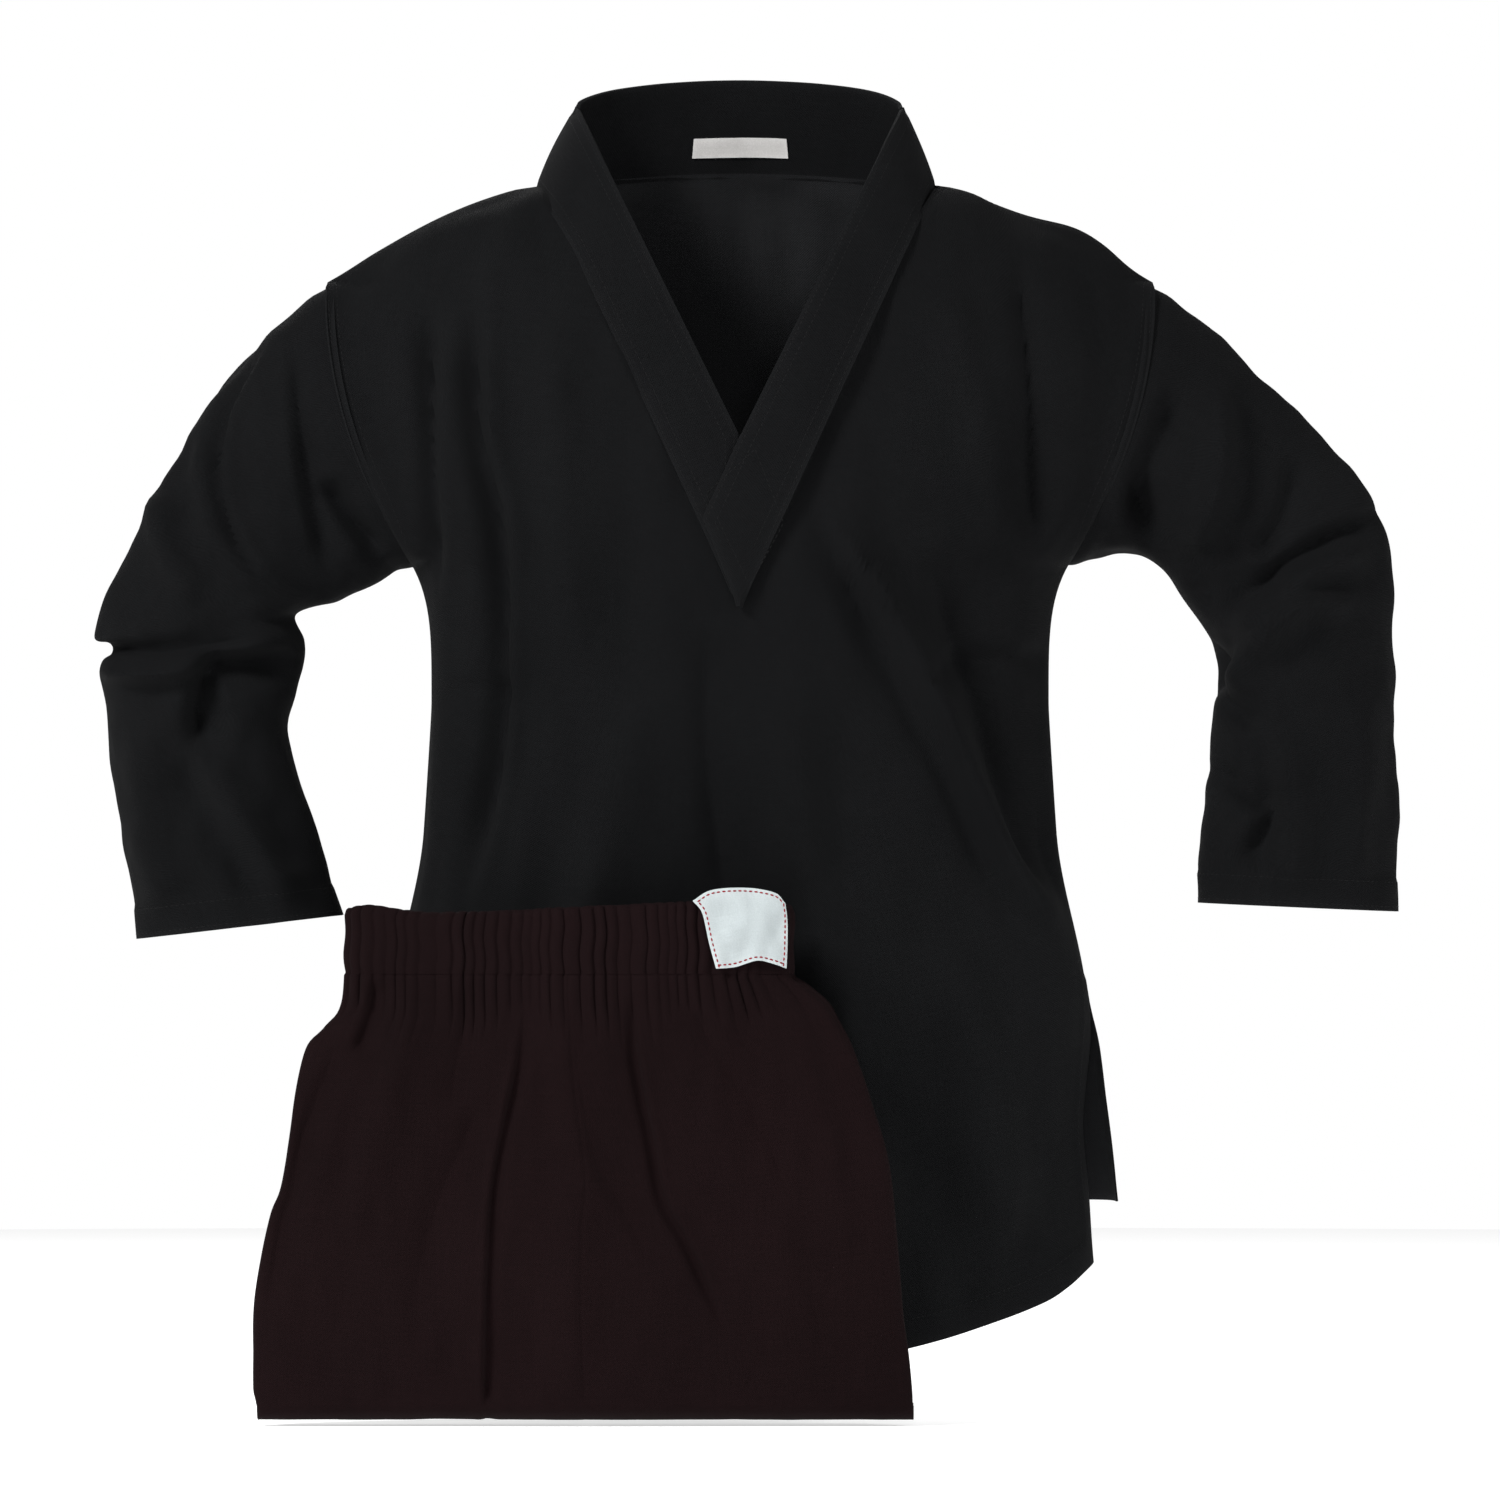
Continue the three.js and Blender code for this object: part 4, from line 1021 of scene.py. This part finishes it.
for name, (start, end, front) in PANELS.items():
    points, angle = trouser_panel(start, end, front)
    z = points[..., 2]
    arc = np.interp(angle, dense_angle, dense_arc)
    reach = 0.030 + 0.014 * np.sin(57 * arc + 0.4) + 0.010 * np.sin(131 * arc + 2.0)
    fade = smooth(1 - (GATHER_END_Z - z) / np.maximum(reach, 0.008))
    lift = GATHER_HEIGHT * gather_wave(angle) * fade
    folds = fold_height(points, FRONT_TROUSER_FOLDS if front else BACK_TROUSER_FOLDS)
    at_start = name in ("trouser_right_front", "trouser_left_back")
    side_seam, centre_seam = ("left", "right") if at_start else ("right", "left")
    lift += folds * smooth(edge_distance(points, (side_seam,)) / 0.012)
    lift -= 0.0013 * smooth((z - WAISTBAND_Z + 0.0008) / 0.0010)
    ease = smooth((WAISTBAND_Z - z) / 0.030)
    lift += ease * (crumple(points, 0.040, 0.120, 0.0036, 6.2) + crumple(points, 0.014, 0.040, 0.0012, 3.3))
    lift -= SEAM_STEP * np.exp(-(edge_distance(points, (centre_seam,)) / 0.0015) ** 2)
    lift *= 1 - 0.85 * smooth((TROUSER_FOLD_Z + 0.020 - z) / 0.012)
    points = points + lift[..., None] * grid_normals(points, TROUSER_CORE)
    panel = cloth_sheet(f"{name}_panel", points, TROUSER_CORE, trouser_cotton, TROUSER_CLOTH,
                        worn=("last",) if front else ())
    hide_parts(name)
    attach(panel, "trousers")

# --- Waistband, elastic and waist label ---
# The waistband is the same cotton folded over a flat ribbed elastic and stitched below it, so it
# ruffles all round. A blank white woven label with a red stitched border is sewn over its left end.
WAIST_TOP = [(-0.25, -0.4585), (-0.231, -0.456), (-0.193, -0.4605), (-0.11, -0.4575), (-0.03, -0.454),
             (0.035, -0.456)]
CASING_INSET = 0.0052
CASING_TOP_INSET = 0.0026
CASING_DRIFT = 0.0007
ELASTIC_CLOTH = 0.0006
ELASTIC_INSET = 0.0022
ELASTIC_LOW = -0.0395
ELASTIC_HIGH = -0.0075

angle = even_angles(0, 2 * math.pi, 761)[None, :-1]
bulge = pressed(angle)
waist_x = TROUSER_X + TROUSER_WAIST_HALF * np.cos(angle)
waist_top = smooth_line(WAIST_TOP, 60)
top_z = np.interp(waist_x, waist_top[:, 0], waist_top[:, 1])
wave = gather_wave(angle)
around = np.linspace(0, 1, 29)[:, None]
rising = around < 0.5
climb = np.clip(np.where(rising, around, 1 - around) / 0.44, 0, 1)
casing_z = WAISTBAND_Z + (top_z + CASING_DRIFT * wave - WAISTBAND_Z) * climb
bend_over = smooth((np.abs(around - 0.5) - 0.02) / 0.10)
inset = CASING_TOP_INSET + (np.where(rising, 0, CASING_INSET) - CASING_TOP_INSET) * bend_over
swell = np.sin(math.pi * climb) * 0.0008
out = GATHER_HEIGHT * wave + np.where(rising, 1, 0.3) * swell
drift = CASING_DRIFT * np.sin(2 * math.pi * climb * 1.3 + 40 * waist_x)
casing_x = waist_x + drift - inset * np.cos(angle) + out * np.cos(angle) * np.abs(np.cos(angle)) ** 6
casing = grid_of(casing_x, TROUSER_Y + (WAIST_DEPTH_HALF - inset + out) * bulge, casing_z)
casing_core = grid_of(waist_x, TROUSER_Y + (WAIST_DEPTH_HALF - 0.002) * bulge,
                      TROUSER_TOP_Z - 0.012 - 0.010 * (1 - climb))
waistband = cloth_sheet("waistband_casing", casing, casing_core, trouser_cotton, TROUSER_CLOTH, closed=True)
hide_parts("waistband")
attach(waistband, "trousers")

elastic_z = np.linspace(ELASTIC_LOW, ELASTIC_HIGH, 12)[:, None]
elastic_y = (WAIST_DEPTH_HALF - ELASTIC_INSET + GATHER_HEIGHT * wave) * bulge
elastic = grid_of(TROUSER_X + (TROUSER_WAIST_HALF - ELASTIC_INSET) * np.cos(angle), TROUSER_Y + elastic_y,
                  TROUSER_TOP_Z + elastic_z)
ribbed_elastic = cloth_material("ribbed_elastic", (0.42, 0.41, 0.39), (0.72, 0.71, 0.68), 900, 0.05, 0.6)
elastic_band = cloth_sheet("waist_elastic_band", elastic, TROUSER_CORE, ribbed_elastic, ELASTIC_CLOTH,
                           closed=True, worn=ENDS)
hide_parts("waist_elastic")
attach(elastic_band, "trousers")

LABEL_TOP = [(-0.0296, -0.453), (-0.018, -0.4463), (0.003, -0.4448), (0.0215, -0.4478), (0.0285, -0.4545)]
LABEL_BOTTOM = [(-0.015, -0.4955), (-0.003, -0.4945), (0.0107, -0.4905), (0.021, -0.4925), (0.0292, -0.4955)]
LABEL_LEFT = [(-0.015, -0.4955), (-0.0195, -0.479), (-0.0235, -0.461), (-0.0296, -0.453)]
LABEL_RIGHT = [(0.0292, -0.4955), (0.0298, -0.482), (0.0298, -0.466), (0.0285, -0.4545)]
LABEL_STAND = 0.0042
u = np.linspace(0, 1, 41)[None, :, None]
v = np.linspace(0, 1, 31)[:, None, None]
bottom, top = smooth_line(LABEL_BOTTOM, 41)[None], smooth_line(LABEL_TOP, 41)[None]
left, right = smooth_line(LABEL_LEFT, 31)[:, None], smooth_line(LABEL_RIGHT, 31)[:, None]
up_and_down = (1 - v) * bottom + v * top
corners = (1 - u) * up_and_down[:, :1] + u * up_and_down[:, -1:]
outline = up_and_down + (1 - u) * left + u * right - corners
across_waist = np.clip((outline[..., 0] - TROUSER_X) / TROUSER_WAIST_HALF, -0.9985, 0.9985)
label_y = TROUSER_Y - WAIST_DEPTH_HALF * (1 - across_waist**2) ** 0.3 - LABEL_STAND
label_points = grid_of(outline[..., 0], label_y, outline[..., 1])
label_points[..., 1] += crumple(label_points, 0.011, 0.016, 0.0030, 9.4)
white_satin = cloth_material("white_satin", (0.33, 0.365, 0.375), (0.48, 0.525, 0.53), 2400, 0.05, 0.4, 0.6)
waist_label = cloth_sheet("waist_label_patch", label_points, TROUSER_CORE, white_satin, LABEL_CLOTH,
                          worn=ENDS + SIDES)
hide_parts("waist_label")
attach(waist_label, "trousers")

red_thread = thread_material("red_thread", (0.13, 0.006, 0.010), (0.30, 0.020, 0.030), 0.1)
label_lines = [seam_line(label_points, TROUSER_CORE, edge, 0.0022, 0.03, 0.97)
               for edge in ENDS + SIDES]
label_stitching = stitch_rows("waist_label_stitching", label_lines, red_thread, 0.9, 2.2)
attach(label_stitching, "trousers")

# --- Legs ---
# Each leg is one flattened tube of the same cotton. It turns up behind the trousers, then down, then
# up again to its hem, pressed flat, with a stitched hem at the ankle.
LEG_LAYERS_Y = (-0.0967, -0.0894, -0.0821)
LEG_TOP_Z = -0.592
LEG_BOTTOM_Z = -0.7715
LEG_FOLD_RADIUS = 0.00365

# The middle line of a leg, in y and z: up behind the trousers, over, down, under, and up again.
near, middle, far = LEG_LAYERS_Y
turn = np.linspace(0, math.pi, 13)[1:-1]
up = np.linspace(TROUSER_FOLD_Z + FOLD_ROLL, LEG_TOP_Z, 40)
down = np.linspace(LEG_TOP_Z, LEG_BOTTOM_Z, 40)
last = np.linspace(LEG_BOTTOM_Z, LEG_TOP_Z, 40)
turn_y = LEG_FOLD_RADIUS * (1 - np.cos(turn))
turn_z = LEG_FOLD_RADIUS * np.sin(turn)
path_y = np.concatenate([0 * up + near, near + turn_y, 0 * down + middle, middle + turn_y, 0 * last + far])
path_z = np.concatenate([up, LEG_TOP_Z + turn_z, down, LEG_BOTTOM_Z - turn_z, last])
path = np.stack([path_y, path_z], axis=-1)
run = np.gradient(path, axis=0)
run /= np.linalg.norm(run, axis=1, keepdims=True)
out = np.stack([run[:, 1], -run[:, 0]], axis=-1)
share = np.linspace(0, 1, len(path))[:, None]
around = np.linspace(0, 2 * math.pi, 96, endpoint=False)[None, :]
crotch_x = (LEFT_SIDE[-1][0] + RIGHT_SIDE[-1][0]) / 2
side_lines = {"right": right_side, "left": left_side}
depth = LEG_HALF_DEPTH * pressed(around, 0.5)
for side_name, sign in (("right", -1), ("left", 1)):
    outer_x = side_x(side_lines[side_name], path[:, 1:]) - sign * (0.003 + 0.010 * share)
    inner_x = crotch_x + sign * (0.002 + 0.006 * share)
    half = np.abs(outer_x - inner_x) / 2
    centre_x = (outer_x + inner_x) / 2
    tube = grid_of(centre_x + half * np.cos(around), path[:, :1] + out[:, :1] * depth,
                   path[:, 1:] + out[:, 1:] * depth)
    core = grid_of(centre_x, path[:, :1], path[:, 1:])
    tube[..., 0] += crumple(tube, 0.030, 0.030, 0.0030, 2.2) * np.abs(np.cos(around)) ** 8
    leg = cloth_sheet(f"{side_name}_leg", tube, core, trouser_cotton, TROUSER_CLOTH,
                      closed=True, worn=("last",))
    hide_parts(f"{side_name}_leg_upper", f"{side_name}_leg_middle", f"{side_name}_leg_end")
    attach(leg, "trousers")
    hem_lines = [seam_line(tube, core, "last", distance, closed=True) for distance in (0.0030, 0.0180)]
    hem_stitching = stitch_rows(f"{side_name}_leg_stitching", hem_lines, black_thread, 0.8)
    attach(hem_stitching, "trousers")
